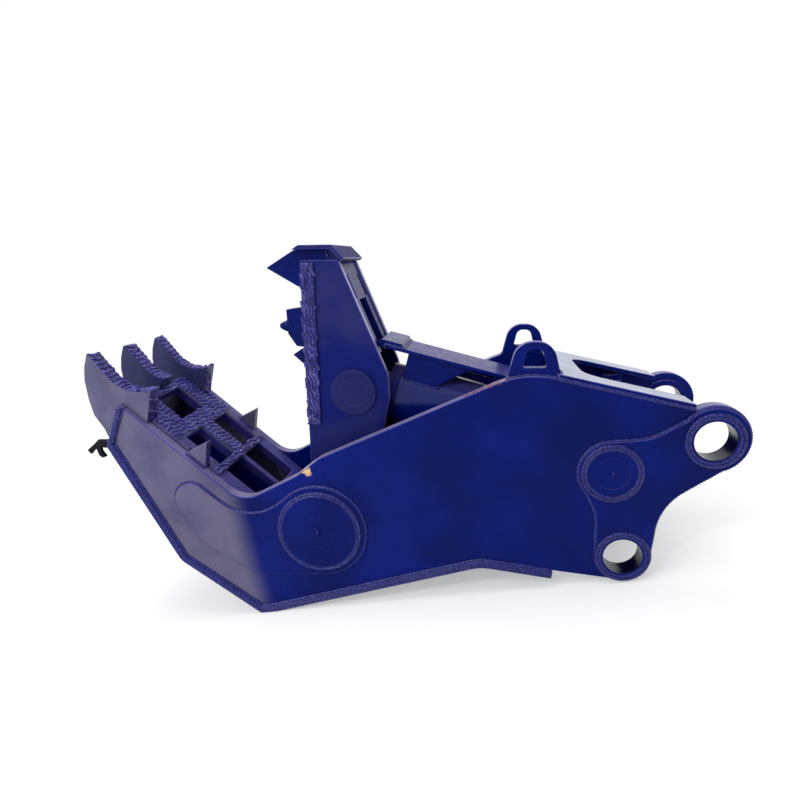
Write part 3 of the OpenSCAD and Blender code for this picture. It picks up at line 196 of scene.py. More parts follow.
class Recipe:
    """One material in the making: its principled shader and the nodes that feed it."""

    spot_waves = 90.0
    spot_edge = (1.25, 1.6)

    def __init__(self, name: str) -> None:
        """Starts an empty material.

        Args:
            name: Name of the material.
        """
        self.material = bpy.data.materials.new(name)
        self.material.use_nodes = True
        self.tree = self.material.node_tree
        self.shader = self.tree.nodes["Principled BSDF"]
        coordinates = add_node(self.tree, "TexCoord")
        self.place = coordinates.outputs["Object"]
        self.facing = coordinates.outputs["Normal"]
        self.normal: Socket | None = None

    def plain(self, **sockets: float | Rgba) -> None:
        """Sets sockets of the shader to one value all over.

        Args:
            sockets: Values by socket name, with underscores for blanks.
        """
        for name, value in sockets.items():
            self.shader.inputs[name.replace("_", " ")].default_value = value

    def noise(self, scale: float, detail: float = 4.0) -> Socket:
        """Adds a noise pattern on the piece's own coordinates.

        Args:
            scale: Waves per metre.
            detail: Octaves.

        Returns:
            The pattern's value, about 0.5 on average.
        """
        return add_node(self.tree, "TexNoise",
                        {"Vector": self.place, "Scale": scale, "Detail": detail}).outputs["Fac"]

    def cells(self, scale: float) -> Socket:
        """Adds a cell pattern.

        Args:
            scale: Cells per metre.

        Returns:
            The distance from each cell's middle.
        """
        return add_node(self.tree, "TexVoronoi", {"Vector": self.place, "Scale": scale}).outputs["Distance"]

    def ramp(self, value: Socket, low: float, high: float,
             to_low: float = 0.0, to_high: float = 1.0) -> Socket:
        """Maps a value's range smoothly onto another.

        Args:
            value: The value to map.
            low: Where the result is to_low.
            high: Where the result is to_high.
            to_low: Result at low.
            to_high: Result at high.

        Returns:
            The mapped value.
        """
        inputs = {"Value": value, "From Min": low, "From Max": high, "To Min": to_low, "To Max": to_high}
        return add_node(self.tree, "MapRange", inputs, interpolation_type="SMOOTHSTEP").outputs["Result"]

    def sum(self, how: str, first: Socket,
            second: Socket | float) -> Socket:
        """Works out one sum on two values.

        Args:
            how: The sum, such as MULTIPLY.
            first: The first value.
            second: The second value, a socket or a number.

        Returns:
            The result.
        """
        return add_node(self.tree, "Math", {0: first, 1: second}, operation=how).outputs[0]

    def mix(self, share: Socket, first: Socket | Colour,
            second: Socket | Colour) -> Socket:
        """Mixes two colours.

        Args:
            share: Share of the second colour.
            first: The first colour.
            second: The second colour.

        Returns:
            The mixed colour.
        """
        node = add_node(self.tree, "Mix", {"Factor": share}, data_type="RGBA")
        for side, colour in (("A", first), ("B", second)):
            socket = [s for s in node.inputs if s.name == side and s.type == "RGBA"][0]
            feed(self.tree, socket, colour.linear() if isinstance(colour, Colour) else colour)
        return [s for s in node.outputs if s.type == "RGBA"][0]

    def upward(self) -> Socket:
        """Returns how far the surface faces up in the piece's own frame, from -1 to 1."""
        return add_node(self.tree, "SeparateXYZ", {0: self.facing}).outputs["Z"]

    def forward(self) -> Socket:
        """Returns how far forward of the arm pin the surface lies, in metres."""
        return self.sum("MULTIPLY", add_node(self.tree, "SeparateXYZ", {0: self.place}).outputs["X"], -1.0)

    def near(self, centre: Vector, radius: float) -> Socket:
        """Adds a soft ragged spot.

        Args:
            centre: Middle of the spot.
            radius: Radius of the spot.

        Returns:
            1 in the spot and 0 away from it.
        """
        away = add_node(self.tree, "VectorMath", {0: self.place, 1: centre}, operation="DISTANCE")
        inputs = {0: self.noise(self.spot_waves), 1: radius, 2: away.outputs["Value"]}
        ragged = add_node(self.tree, "Math", inputs, operation="MULTIPLY_ADD")
        inner, outer = self.spot_edge
        return self.ramp(ragged.outputs[0], radius * inner, radius * outer, 1.0, 0.0)

    def colour(self, value: Socket) -> None:
        """Feeds the shader's base colour."""
        self.tree.links.new(value, self.shader.inputs["Base Color"])

    def rough(self, value: Socket) -> None:
        """Feeds the shader's roughness."""
        self.tree.links.new(value, self.shader.inputs["Roughness"])

    def relief(self, height: Socket, depth: float) -> None:
        """Adds fine relief to the surface, over any that is there.

        Args:
            height: The pattern of heights.
            depth: Depth of the pattern in metres.
        """
        inputs: dict[str | int, Feed] = {"Strength": 1.0, "Distance": depth, "Height": height}
        if self.normal is not None:
            inputs["Normal"] = self.normal
        self.normal = add_node(self.tree, "Bump", inputs).outputs["Normal"]
        self.tree.links.new(self.normal, self.shader.inputs["Normal"])


@dataclass(frozen=True)
class GlossPaint:
    """Sprayed gloss paint on plate: slow shifts of tone, fine orange peel, a pale film on upward faces that
    is partly dust and partly a painted sky reflection, and, where asked for, a painted reflection of the
    grey surroundings towards the front.
    """

    name: str = "gloss_paint"
    tone: Colour = Colour(3, 21, 102)
    deep: Colour = Colour(2, 14, 80)
    # Pale tint of upward faces and its share: partly dust, partly a painted reflection of the sky.
    dust: Colour = Colour(98, 92, 158)
    dust_share: float = 0.6
    gloss: float = 0.2
    shine: float = 0.07
    peel: float = 0.0006
    # Grey tint and the forward span over which it grows in: a painted reflection of the grey surroundings.
    haze: Colour = Colour(106, 101, 120)
    haze_span: tuple[float, float] | None = None
    bare_spots: Spots = ()

    def make(self) -> Material:
        """Returns the material."""
        recipe = Recipe(self.name)
        cloudy = recipe.ramp(recipe.noise(3.5, 3), 0.35, 0.65)
        paint = recipe.mix(cloudy, self.deep, self.tone)
        # Upward faces are mixed towards the pale tint, which is partly dust and partly a painted sky
        # reflection.
        dust_and_sky_film = recipe.sum("MULTIPLY", recipe.ramp(recipe.upward(), 0.45, 0.95), self.dust_share)
        dust_and_sky_film = recipe.sum("MULTIPLY", dust_and_sky_film, recipe.ramp(recipe.noise(14, 6), 0.2, 0.75, 0.6, 1.0))
        paint = recipe.mix(dust_and_sky_film, paint, self.dust)
        # Towards the front the paint is mixed towards the grey tint, a painted reflection of the
        # surroundings.
        if self.haze_span is not None:
            haze = recipe.ramp(recipe.forward(), *self.haze_span, 0.0, 0.72)
            haze = recipe.sum("MULTIPLY", haze, recipe.ramp(recipe.noise(7, 4), 0.25, 0.6, 0.65, 1.0))
            paint = recipe.mix(haze, paint, self.haze)
        for x, y, z, radius, bare in self.bare_spots:
            paint = recipe.mix(recipe.near(Vector((x, y, z)), radius), paint, bare)
        recipe.colour(paint)
        recipe.rough(recipe.ramp(recipe.noise(40, 5), 0.3, 0.7, self.gloss, self.gloss + 0.12))
        recipe.plain(Specular_IOR_Level=self.shine)
        recipe.relief(recipe.noise(260, 2), self.peel)
        recipe.relief(recipe.noise(9, 2), self.peel * 6)
        return recipe.material


@dataclass(frozen=True)
class HardFacing:
    """Painted plate under hard-facing: scaly, with the crests painted lighter as highlights and the hollows
    painted darker as shade.
    """

    name: str = "hard_facing"
    # Light tone painted on the crests as highlight, dark tone painted in the hollows as shade.
    crest: Colour = Colour(78, 68, 168)
    hollow: Colour = Colour(20, 18, 84)
    gloss: float = 0.12

    def make(self) -> Material:
        """Returns the material."""
        recipe = Recipe(self.name)
        scale = recipe.ramp(recipe.cells(240), 0.1, 0.7, 1.0, 0.0)
        patch = recipe.ramp(recipe.noise(30, 4), 0.35, 0.65)
        # The raised middles of the scales take the light tone as a painted highlight, the hollows between
        # them take the dark tone as painted shade.
        tone = recipe.mix(recipe.sum("MULTIPLY", scale, patch), self.hollow, self.crest)
        recipe.colour(tone)
        recipe.rough(recipe.ramp(recipe.noise(120, 3), 0.3, 0.7, self.gloss, self.gloss + 0.2))
        recipe.plain(Specular_IOR_Level=0.28)
        recipe.relief(scale, 0.0016)
        recipe.relief(recipe.noise(420, 3), 0.0008)
        return recipe.material


@dataclass(frozen=True)
class WeldMetal:
    """Painted weld bead with fine ripples and spatter, and lighter flecks painted on as glints."""

    name: str = "weld_metal"
    tone: Colour = Colour(6, 12, 74)
    # Tone of the lighter flecks, painted as glints.
    crest: Colour = Colour(44, 48, 132)
    gloss: float = 0.1

    def make(self) -> Material:
        """Returns the material."""
        recipe = Recipe(self.name)
        # Lighter flecks mixed in by noise are painted glints.
        glint_flecks = recipe.ramp(recipe.noise(150, 4), 0.35, 0.7)
        recipe.colour(recipe.mix(glint_flecks, self.tone, self.crest))
        recipe.rough(recipe.ramp(recipe.noise(300, 2), 0.3, 0.7, self.gloss, self.gloss + 0.15))
        recipe.plain(Specular_IOR_Level=0.28)
        recipe.relief(recipe.noise(380, 3), 0.0009)
        return recipe.material


@dataclass(frozen=True)
class Metal:
    """Bare machined metal with turning marks and a thin oily tone."""

    name: str
    tone: Colour
    stain: Colour
    gloss: float

    def make(self) -> Material:
        """Returns the material."""
        recipe = Recipe(self.name)
        stained = recipe.ramp(recipe.noise(22, 6), 0.4, 0.75)
        recipe.colour(recipe.mix(stained, self.tone, self.stain))
        recipe.rough(recipe.ramp(recipe.noise(160, 4), 0.25, 0.75, self.gloss, self.gloss + 0.18))
        recipe.plain(Metallic=0.9)
        recipe.relief(recipe.noise(520, 2), 0.0004)
        return recipe.material


@dataclass(frozen=True)
class SealRubber:
    """Matt black rubber."""

    name: str = "seal_rubber"
    tone: Colour = Colour(18, 18, 20)
    worn: Colour = Colour(38, 37, 38)

    def make(self) -> Material:
        """Returns the material."""
        recipe = Recipe(self.name)
        recipe.colour(recipe.mix(recipe.noise(80), self.tone, self.worn))
        recipe.plain(Roughness=0.7)
        recipe.relief(recipe.noise(600, 2), 0.0003)
        return recipe.material


@dataclass
class Path:
    """A run of points, open or closed."""

    points: list[Vector]
    closed: bool

    def length(self) -> float:
        """Returns the path's length."""
        ring = self.points + self.points[:1] if self.closed else self.points
        return sum((b - a).length for a, b in zip(ring, ring[1:]))

    def spaced(self, step: float) -> "Path":
        """Walks the path in even steps.

        Args:
            step: Wanted distance between points.

        Returns:
            A path of evenly spaced points, at least three.
        """
        ring = self.points + self.points[:1] if self.closed else self.points
        total = self.length()
        count = max(3, round(total / step))
        gaps = count if self.closed else count - 1
        made, leg, behind = [], 0, 0.0
        for i in range(count):
            goal = total * i / gaps
            while leg < len(ring) - 2 and behind + (ring[leg + 1] - ring[leg]).length < goal:
                behind += (ring[leg + 1] - ring[leg]).length
                leg += 1
            run = (ring[leg + 1] - ring[leg]).length
            made.append(ring[leg].lerp(ring[leg + 1], (goal - behind) / run if run else 0.0))
        return Path(made, self.closed)

    def inset(self, depth: float) -> "Path":
        """Moves a closed path that lies square to Y inward.

        Args:
            depth: How far it moves.

        Returns:
            The moved path.
        """
        count = len(self.points)
        runs = [self.points[(i + 1) % count] - self.points[i - 1] for i in range(count)]
        turn = sum(p.cross(run).y for p, run in zip(self.points, runs))
        across = Vector((0, math.copysign(1, turn), 0))
        return Path([p + across.cross(run).normalized() * depth for p, run in zip(self.points, runs)], True)

    def kept(self, keep: PointTest) -> "list[Path]":
        """Splits the path where its points fail a test.

        Args:
            keep: The test.

        Returns:
            The runs of three and more points that pass.
        """
        marks = [keep(p) for p in self.points]
        if all(marks):
            return [self]
        runs: list[list[Vector]] = [[]]
        for point, passed in zip(self.points, marks):
            if passed:
                runs[-1].append(point)
            elif runs[-1]:
                runs.append([])
        return [Path(run, False) for run in runs if len(run) > 2]


def chained(edges: Iterable[bmesh.types.BMEdge]) -> list[Path]:
    """Joins loose edges end to end.

    Args:
        edges: The edges, in any order.

    Returns:
        One path for each run.
    """
    left = set(edges)
    touching: dict[bmesh.types.BMVert, list[bmesh.types.BMEdge]] = {}
    for edge in left:
        for vert in edge.verts:
            touching.setdefault(vert, []).append(edge)
    ordered = sorted(left, key=lambda e: e.index)
    starts = [v for e in ordered for v in e.verts if len(touching[v]) != 2]
    paths = []
    for start in starts + [e.verts[0] for e in ordered]:
        while True:
            fresh = [e for e in touching[start] if e in left]
            if not fresh:
                break
            vert, points = start, [start.co.copy()]
            while fresh:
                left.discard(fresh[0])
                vert = fresh[0].other_vert(vert)
                points.append(vert.co.copy())
                fresh = [e for e in touching[vert] if e in left] if len(touching[vert]) == 2 else []
            closed = vert is start and len(points) > 3
            paths.append(Path(points[:-1] if closed else points, closed))
    return paths


class Stock:
    """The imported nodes, as meshes to measure and to copy."""

    same_point = 2e-5
    flat_angle = math.radians(0.6)
    sharp_angle = math.radians(28)
    near_end = 0.1
    cut_slack = 1e-6

    def __init__(self, frame: dict) -> None:
        """Keeps the frame.
        """
        self.frame = frame
        self.trees: dict[str, BVHTree] = {}

    def whole(self, node: str) -> bmesh.types.BMesh:
        """Copies a node with its loose triangles merged into faces.

        Args:
            node: Name of the node.

        Returns:
            The copy, to be freed by the caller.
        """
        bm = bmesh.new()
        bm.from_mesh(self.frame["nodes"][node].data)
        bmesh.ops.remove_doubles(bm, verts=bm.verts, dist=self.same_point)
        bmesh.ops.dissolve_limit(bm, angle_limit=self.flat_angle, verts=bm.verts, edges=bm.edges)
        bm.edges.index_update()
        bm.faces.index_update()
        return bm

    def tree(self, node: str) -> BVHTree:
        """Returns a search tree over a node's surface."""
        if node not in self.trees:
            bm = bmesh.new()
            bm.from_mesh(self.frame["nodes"][node].data)
            self.trees[node] = BVHTree.FromBMesh(bm)
            bm.free()
        return self.trees[node]

    def sharp(self, bm: bmesh.types.BMesh) -> list[bmesh.types.BMEdge]:
        """Returns the mesh's sharp edges."""
        return [e for e in bm.edges if len(e.link_faces) == 2 and e.calc_face_angle(0) > self.sharp_angle]

    def seams(self, node: str, against: str, keep: PointTest | None = None, reach: float = 0.0012,
              shortest: float = 0.02) -> list[Path]:
        """Finds where the edges of one node lie on another node.

        Args:
            node: The node with the edges.
            against: The node that they lie on.
            keep: Test that an edge's middle has to pass.
            reach: How near an edge has to be.
            shortest: Length under which a run is left out.

        Returns:
            The runs of such edges.
        """
        bm = self.whole(node)
        tree = self.tree(against)
        found = []
        for edge in self.sharp(bm):
            a, b = edge.verts[0].co, edge.verts[1].co
            middle = (a + b) / 2
            if keep is not None and not keep(middle):
                continue
            probes = (a.lerp(b, self.near_end), middle, a.lerp(b, 1 - self.near_end))
            if all(tree.find_nearest(p, reach)[0] is not None for p in probes):
                found.append(edge)
        paths = [p for p in chained(found) if p.length() >= shortest]
        bm.free()
        return paths

    def rims(self, node: str, keep: PointTest) -> list[Path]:
        """Finds the sharp edges of a node that pass a test.

        Args:
            node: The node.
            keep: Test that both ends of an edge have to pass.

        Returns:
            The runs of such edges.
        """
        bm = self.whole(node)
        paths = chained(e for e in self.sharp(bm) if all(keep(v.co) for v in e.verts))
        bm.free()
        return paths

    def hatched(self, node: str, on: FaceTest, along: Vector, spacing: float) -> list[Path]:
        """Cuts some faces of a node with even parallel planes.

        Args:
            node: The node.
            on: Test for the faces.
            along: Direction square to the planes.
            spacing: Distance between the planes.

        Returns:
            The lines where the planes cross the faces.
        """
        bm = self.whole(node)
        bmesh.ops.delete(bm, geom=[f for f in bm.faces if not on(f)], context="FACES")
        along = along.normalized()
        depths = [v.co.dot(along) for v in bm.verts]
        paths: list[Path] = []
        if depths:
            first = math.ceil(min(depths) / spacing)
            last = math.floor(max(depths) / spacing)
            for i in range(first, last + 1):
                part = bm.copy()
                cut = bmesh.ops.bisect_plane(
                    part, geom=part.verts[:] + part.edges[:] + part.faces[:], dist=self.cut_slack,
                    plane_co=along * (i * spacing), plane_no=along)["geom_cut"]
                part.edges.index_update()
                paths += chained(e for e in cut if isinstance(e, bmesh.types.BMEdge))
                part.free()
        bm.free()
        return [p for p in paths if p.length() >= spacing / 2]


class Maker:
    """Turns meshes into finished pieces that ride on a body."""

    edge_steps = 2
    smooth_angle = math.radians(50)

    def __init__(self, stock: Stock) -> None:
        """Keeps the stock.

        Args:
            stock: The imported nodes.
        """
        self.stock = stock

    def piece(self, name: str, mesh: bpy.types.Mesh, body: Body, slot: Slot,
              materials: Sequence[Material]) -> bpy.types.Object:
        """Makes an object of a mesh.

        Args:
            name: Name of the piece.
            mesh: Its mesh, in the model's frame.
            body: The body that it rides on.
            slot: The record's material slot; not used.
            materials: Its materials.

        Returns:
            The object.
        """
        mesh.name = name
        for material in materials:
            mesh.materials.append(material)
        made = bpy.data.objects.new(name, mesh)
        bpy.context.scene.collection.objects.link(made)
        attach(made, body.value)
        LOG.info("%s: %d faces", name, len(mesh.polygons))
        return made

    def worked(self, node: str, body: Body, slot: Slot, materials: Sequence[Material],
               edge: float, accent: FaceTest | None = None, rim: int = -1) -> bpy.types.Object:
        """Shows a node as a copy with rounded edges.

        Args:
            node: The node that the copy stands for.
            body: The body that it rides on.
            slot: The record's material slot.
            materials: Main material, and a second one for accented faces.
            edge: Width of the rounding.
            accent: Test for faces that get the second material.
            rim: Number of the rounded edges' material, which paints a highlight along them, or -1 for that
                of the faces beside them.

        Returns:
            The object.
        """
        bm = self.stock.whole(node)
        if accent is not None:
            for face in bm.faces:
                face.material_index = 1 if accent(face) else 0
        bmesh.ops.bevel(bm, geom=self.stock.sharp(bm), offset=edge, offset_type="OFFSET",
                        segments=self.edge_steps, profile=0.5, affect="EDGES", clamp_overlap=True,
                        material=rim)
        bmesh.ops.triangulate(bm, faces=[f for f in bm.faces if len(f.verts) > 4])
        mesh = bpy.data.meshes.new(node)
        bm.to_mesh(mesh)
        bm.free()
        mesh.shade_smooth()
        mesh.set_sharp_from_angle(angle=self.smooth_angle)
        made = self.piece(f"{node}_worked", mesh, body, slot, materials)
        even = made.modifiers.new("even_shading", "WEIGHTED_NORMAL")
        even.keep_sharp = True
        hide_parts(node)
        return made

    def coat(self, node: str, material: Material) -> None:
        """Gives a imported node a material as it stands.

        Args:
            node: The node.
            material: Its material.
        """
        made = self.stock.frame["nodes"][node]
        made.data.materials.clear()
        made.data.materials.append(material)


@dataclass(frozen=True)
class Hatch:
    """How rows of beads run: square to a direction, a gap apart, swaying, and left out in patches."""

    square: Vector
    gap: float
    sway: Vector
    waves: Vector
    patch: float = 0.0
    bare: float = -1.0

    def shift(self, point: Vector) -> Vector:
        """Returns how far a row sways at a point."""
        return self.sway * math.sin(point.dot(self.waves))

    def covers(self, point: Vector) -> bool:
        """Says if a row has a bead at a point."""
        return noise.noise(point * self.patch) > self.bare


@dataclass
class Bead:
    """A run of weld metal with even ripples, laid along paths."""

    radius: float = 0.005
    ripple: float = 0.17
    step: float = 0.0042
    sides: int = 6
    seed: int = 7
    jitter: float = 0.06
    end_share: float = 0.45

    def __post_init__(self) -> None:
        """Starts an empty mesh and the row of random draws."""
        self.mesh = bmesh.new()
        self.draws = random.Random(self.seed)

    def lay(self, paths: Iterable[Path], lift: Callable[[Vector], Vector] | None = None,
            keep: PointTest | None = None) -> "Bead":
        """Lays a bead along each path.

        Args:
            paths: The paths.
            lift: Shift of each point, if the bead isn't centred on the path.
            keep: Test for the points that get a bead, if not all do.

        Returns:
            The bead itself.
        """
        for path in paths:
            spaced = path.spaced(self.step)
            runs = [spaced] if keep is None else spaced.kept(keep)
            for run in runs:
                if lift is not None:
                    run.points = [p + lift(p) for p in run.points]
                self._lay_one(run)
        return self

    def hatch(self, stock: Stock, node: str, on: FaceTest, rows: Hatch,
              keep: PointTest | None = None) -> "Bead":
        """Lays rows of beads over some faces of a node.

        Args:
            stock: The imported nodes.
            node: The node.
            on: Test for the faces.
            rows: How the rows run.
            keep: Test for the points that get a bead, if not all do.

        Returns:
            The bead itself.
        """
        return self.lay(stock.hatched(node, on, rows.square, rows.gap), rows.shift,
                        lambda p: (keep is None or keep(p)) and rows.covers(p))

    def ring(self, paths: Iterable[Path], step: float) -> "Bead":
        """Lays a bead along each round path and a second one beside it.

        Args:
            paths: The paths.
            step: How far outside the path the second bead lies.

        Returns:
            The bead itself.
        """
        for path in paths:
            middle = sum(path.points, Vector()) / len(path.points)
            self.lay([path]).lay([path], lambda p, middle=middle: (p - middle).normalized() * step)
        return self

    def _lay_one(self, path: Path) -> None:
        """Extrudes a ring along one evenly spaced path."""
        run = bmesh.new()
        points, count = path.points, len(path.points)
        ring = bmesh.ops.create_circle(run, segments=self.sides, radius=1.0)["verts"]
        edges = list({e for v in ring for e in v.link_edges})
        first = edges
        side = Vector((0.3, 0.2, 1.0))
        before = Matrix.Identity(4)
        for i, here in enumerate(points):
            ahead = points[(i + 1) % count] if path.closed or i < count - 1 else here
            back = points[i - 1] if path.closed or i > 0 else here
            axis = (ahead - back).normalized()
            side = (side - axis * side.dot(axis)).normalized()
            wave = self.ripple * (1 if i % 2 else -1)
            size = self.radius * (1 + wave + self.draws.uniform(-self.jitter, self.jitter))
            if not path.closed and i in (0, count - 1):
                size *= self.end_share
            turn = Matrix((side, axis.cross(side), axis)).transposed().to_4x4()
            now = Matrix.Translation(here) @ turn @ Matrix.Scale(size, 4)
            if i:
                grown = bmesh.ops.extrude_edge_only(run, edges=edges)["geom"]
                ring = [g for g in grown if isinstance(g, bmesh.types.BMVert)]
                fresh = set(ring)
                edges = [g for g in grown if isinstance(g, bmesh.types.BMEdge) and set(g.verts) <= fresh]
            bmesh.ops.transform(run, matrix=now @ before.inverted(), verts=ring)
            before = now
        if path.closed:
            bmesh.ops.bridge_loops(run, edges=first + edges)
        else:
            bmesh.ops.contextual_create(run, geom=first)
            bmesh.ops.contextual_create(run, geom=edges)
        bmesh.ops.recalc_face_normals(run, faces=run.faces)
        part = bpy.data.meshes.new("bead_run")
        run.to_mesh(part)
        run.free()
        self.mesh.from_mesh(part)
        bpy.data.meshes.remove(part)

    def finished(self) -> bpy.types.Mesh:
        """Returns the laid beads as one smooth mesh."""
        mesh = bpy.data.meshes.new("beads")
        self.mesh.to_mesh(mesh)
        self.mesh.free()
        mesh.shade_smooth()
        return mesh


@dataclass
class Palette:
    """The materials that several sub-assemblies share."""

    paint: Material
    face: Material
    plate: Material
    mist: Material
    wear: Material
    bead: Material
    weld: Material
    steel: Material
    bore: Material
    bronze: Material
    seal: Material
    rim: Material
    strip: Material
    silver: Material
    lavender: Material
    sheen: Material
    jaw: Material
    clean: Material
    lit: Material
    black: Material

    @classmethod
    def mixed(cls, spots: Spots) -> "Palette":
        """Makes every material.

        Args:
            spots: Places on the side plates where the paint is off.

        Returns:
            The palette.
        """
        return cls(
            paint=GlossPaint().make(),
            # The face plate's paint is a lighter blue, light painted on its upward slope.
            face=GlossPaint("face_paint", Colour(48, 48, 116), Colour(36, 36, 98), gloss=0.3).make(),
            # The side plates' paint, with a painted reflection of the grey surroundings towards the front
            # and spots where the paint is off.
            plate=GlossPaint("side_plate_paint", haze_span=(1.48, 1.58), bare_spots=spots).make(),
            # A darker painted reflection for the teeth that stand partly in shade, so painted shade as well.
            mist=GlossPaint("shaded_reflection_paint", haze=Colour(56, 54, 84), haze_span=(1.36, 1.6)).make(),
            # Hard-facing paints its crests lighter as highlights and its hollows darker as shade; the welds
            # carry lighter flecks painted as glints.
            wear=HardFacing().make(),
            bead=HardFacing("hard_facing_bead", Colour(136, 130, 204), Colour(44, 42, 122), 0.08).make(),
            weld=WeldMetal().make(),
            steel=Metal("machined_steel", Colour(150, 150, 156), Colour(96, 92, 92), 0.25).make(),
            bore=GlossPaint("bore_paint", Colour(7, 9, 42), Colour(4, 5, 26), dust_share=0.0, gloss=0.1,
                            shine=0.35).make(),
            bronze=Metal("bearing_bronze", Colour(170, 126, 70), Colour(120, 84, 48), 0.3).make(),
            seal=SealRubber().make(),
            # A lighter paint for rounded edges, a painted highlight along them.
            rim=GlossPaint("edge_highlight_paint", Colour(58, 58, 140), Colour(34, 38, 116), gloss=0.12,
                           shine=0.15).make(),
            # Upward faces of the side plates: a grey paint that is a painted sky reflection, with spots
            # where the paint is off.
            strip=GlossPaint("side_top_reflection_paint", Colour(98, 92, 132), Colour(76, 72, 118), Colour(122, 116, 146),
                             bare_spots=spots).make(),
            # Upward faces of the top plate: a pale paint that is a painted sky reflection.
            silver=GlossPaint("cap_top_reflection_paint", Colour(158, 162, 180), Colour(132, 138, 160),
                              Colour(176, 180, 192), gloss=0.3).make(),
            # A lighter blue, a painted reflection, for the guard's top and the back of the jaw's back plate.
            lavender=GlossPaint("reflection_blue_paint", Colour(42, 40, 104), Colour(34, 34, 94),
                                Colour(50, 48, 110)).make(),
            sheen=GlossPaint("sheen_paint", gloss=0.14, shine=0.3, peel=0.0002).make(),
            # The jaw plates' paint is lighter and greyer, a painted reflection of the surroundings.
            jaw=GlossPaint("jaw_reflection_paint", Colour(36, 38, 92), Colour(8, 20, 92), gloss=0.3).make(),
            clean=GlossPaint("clean_paint", Colour(40, 40, 88), Colour(26, 30, 82), dust_share=0.12,
                             gloss=0.5).make(),
            lit=GlossPaint("lit_edge_paint", Colour(150, 148, 196), Colour(128, 124, 180),
                           Colour(170, 168, 206)).make(),
            black=GlossPaint("black_paint", Colour(12, 12, 26), Colour(8, 8, 16), dust_share=0.1).make())


@dataclass
class Slope:
    """A direction and its square in the X and Z plane, from a point."""

    origin: Vector
    angle: float

    def along(self) -> Vector:
        """Returns the slope's direction."""
        return Vector((math.cos(self.angle), 0, math.sin(self.angle)))

    def above(self) -> Vector:
        """Returns the direction square to the slope, on its working side."""
        return Vector((math.sin(self.angle), 0, -math.cos(self.angle)))

    def place(self, point: Vector) -> tuple[float, float]:
        """Returns how far a point lies along the slope and above it."""
        offset = point - self.origin
        return offset.dot(self.along()), offset.dot(self.above())


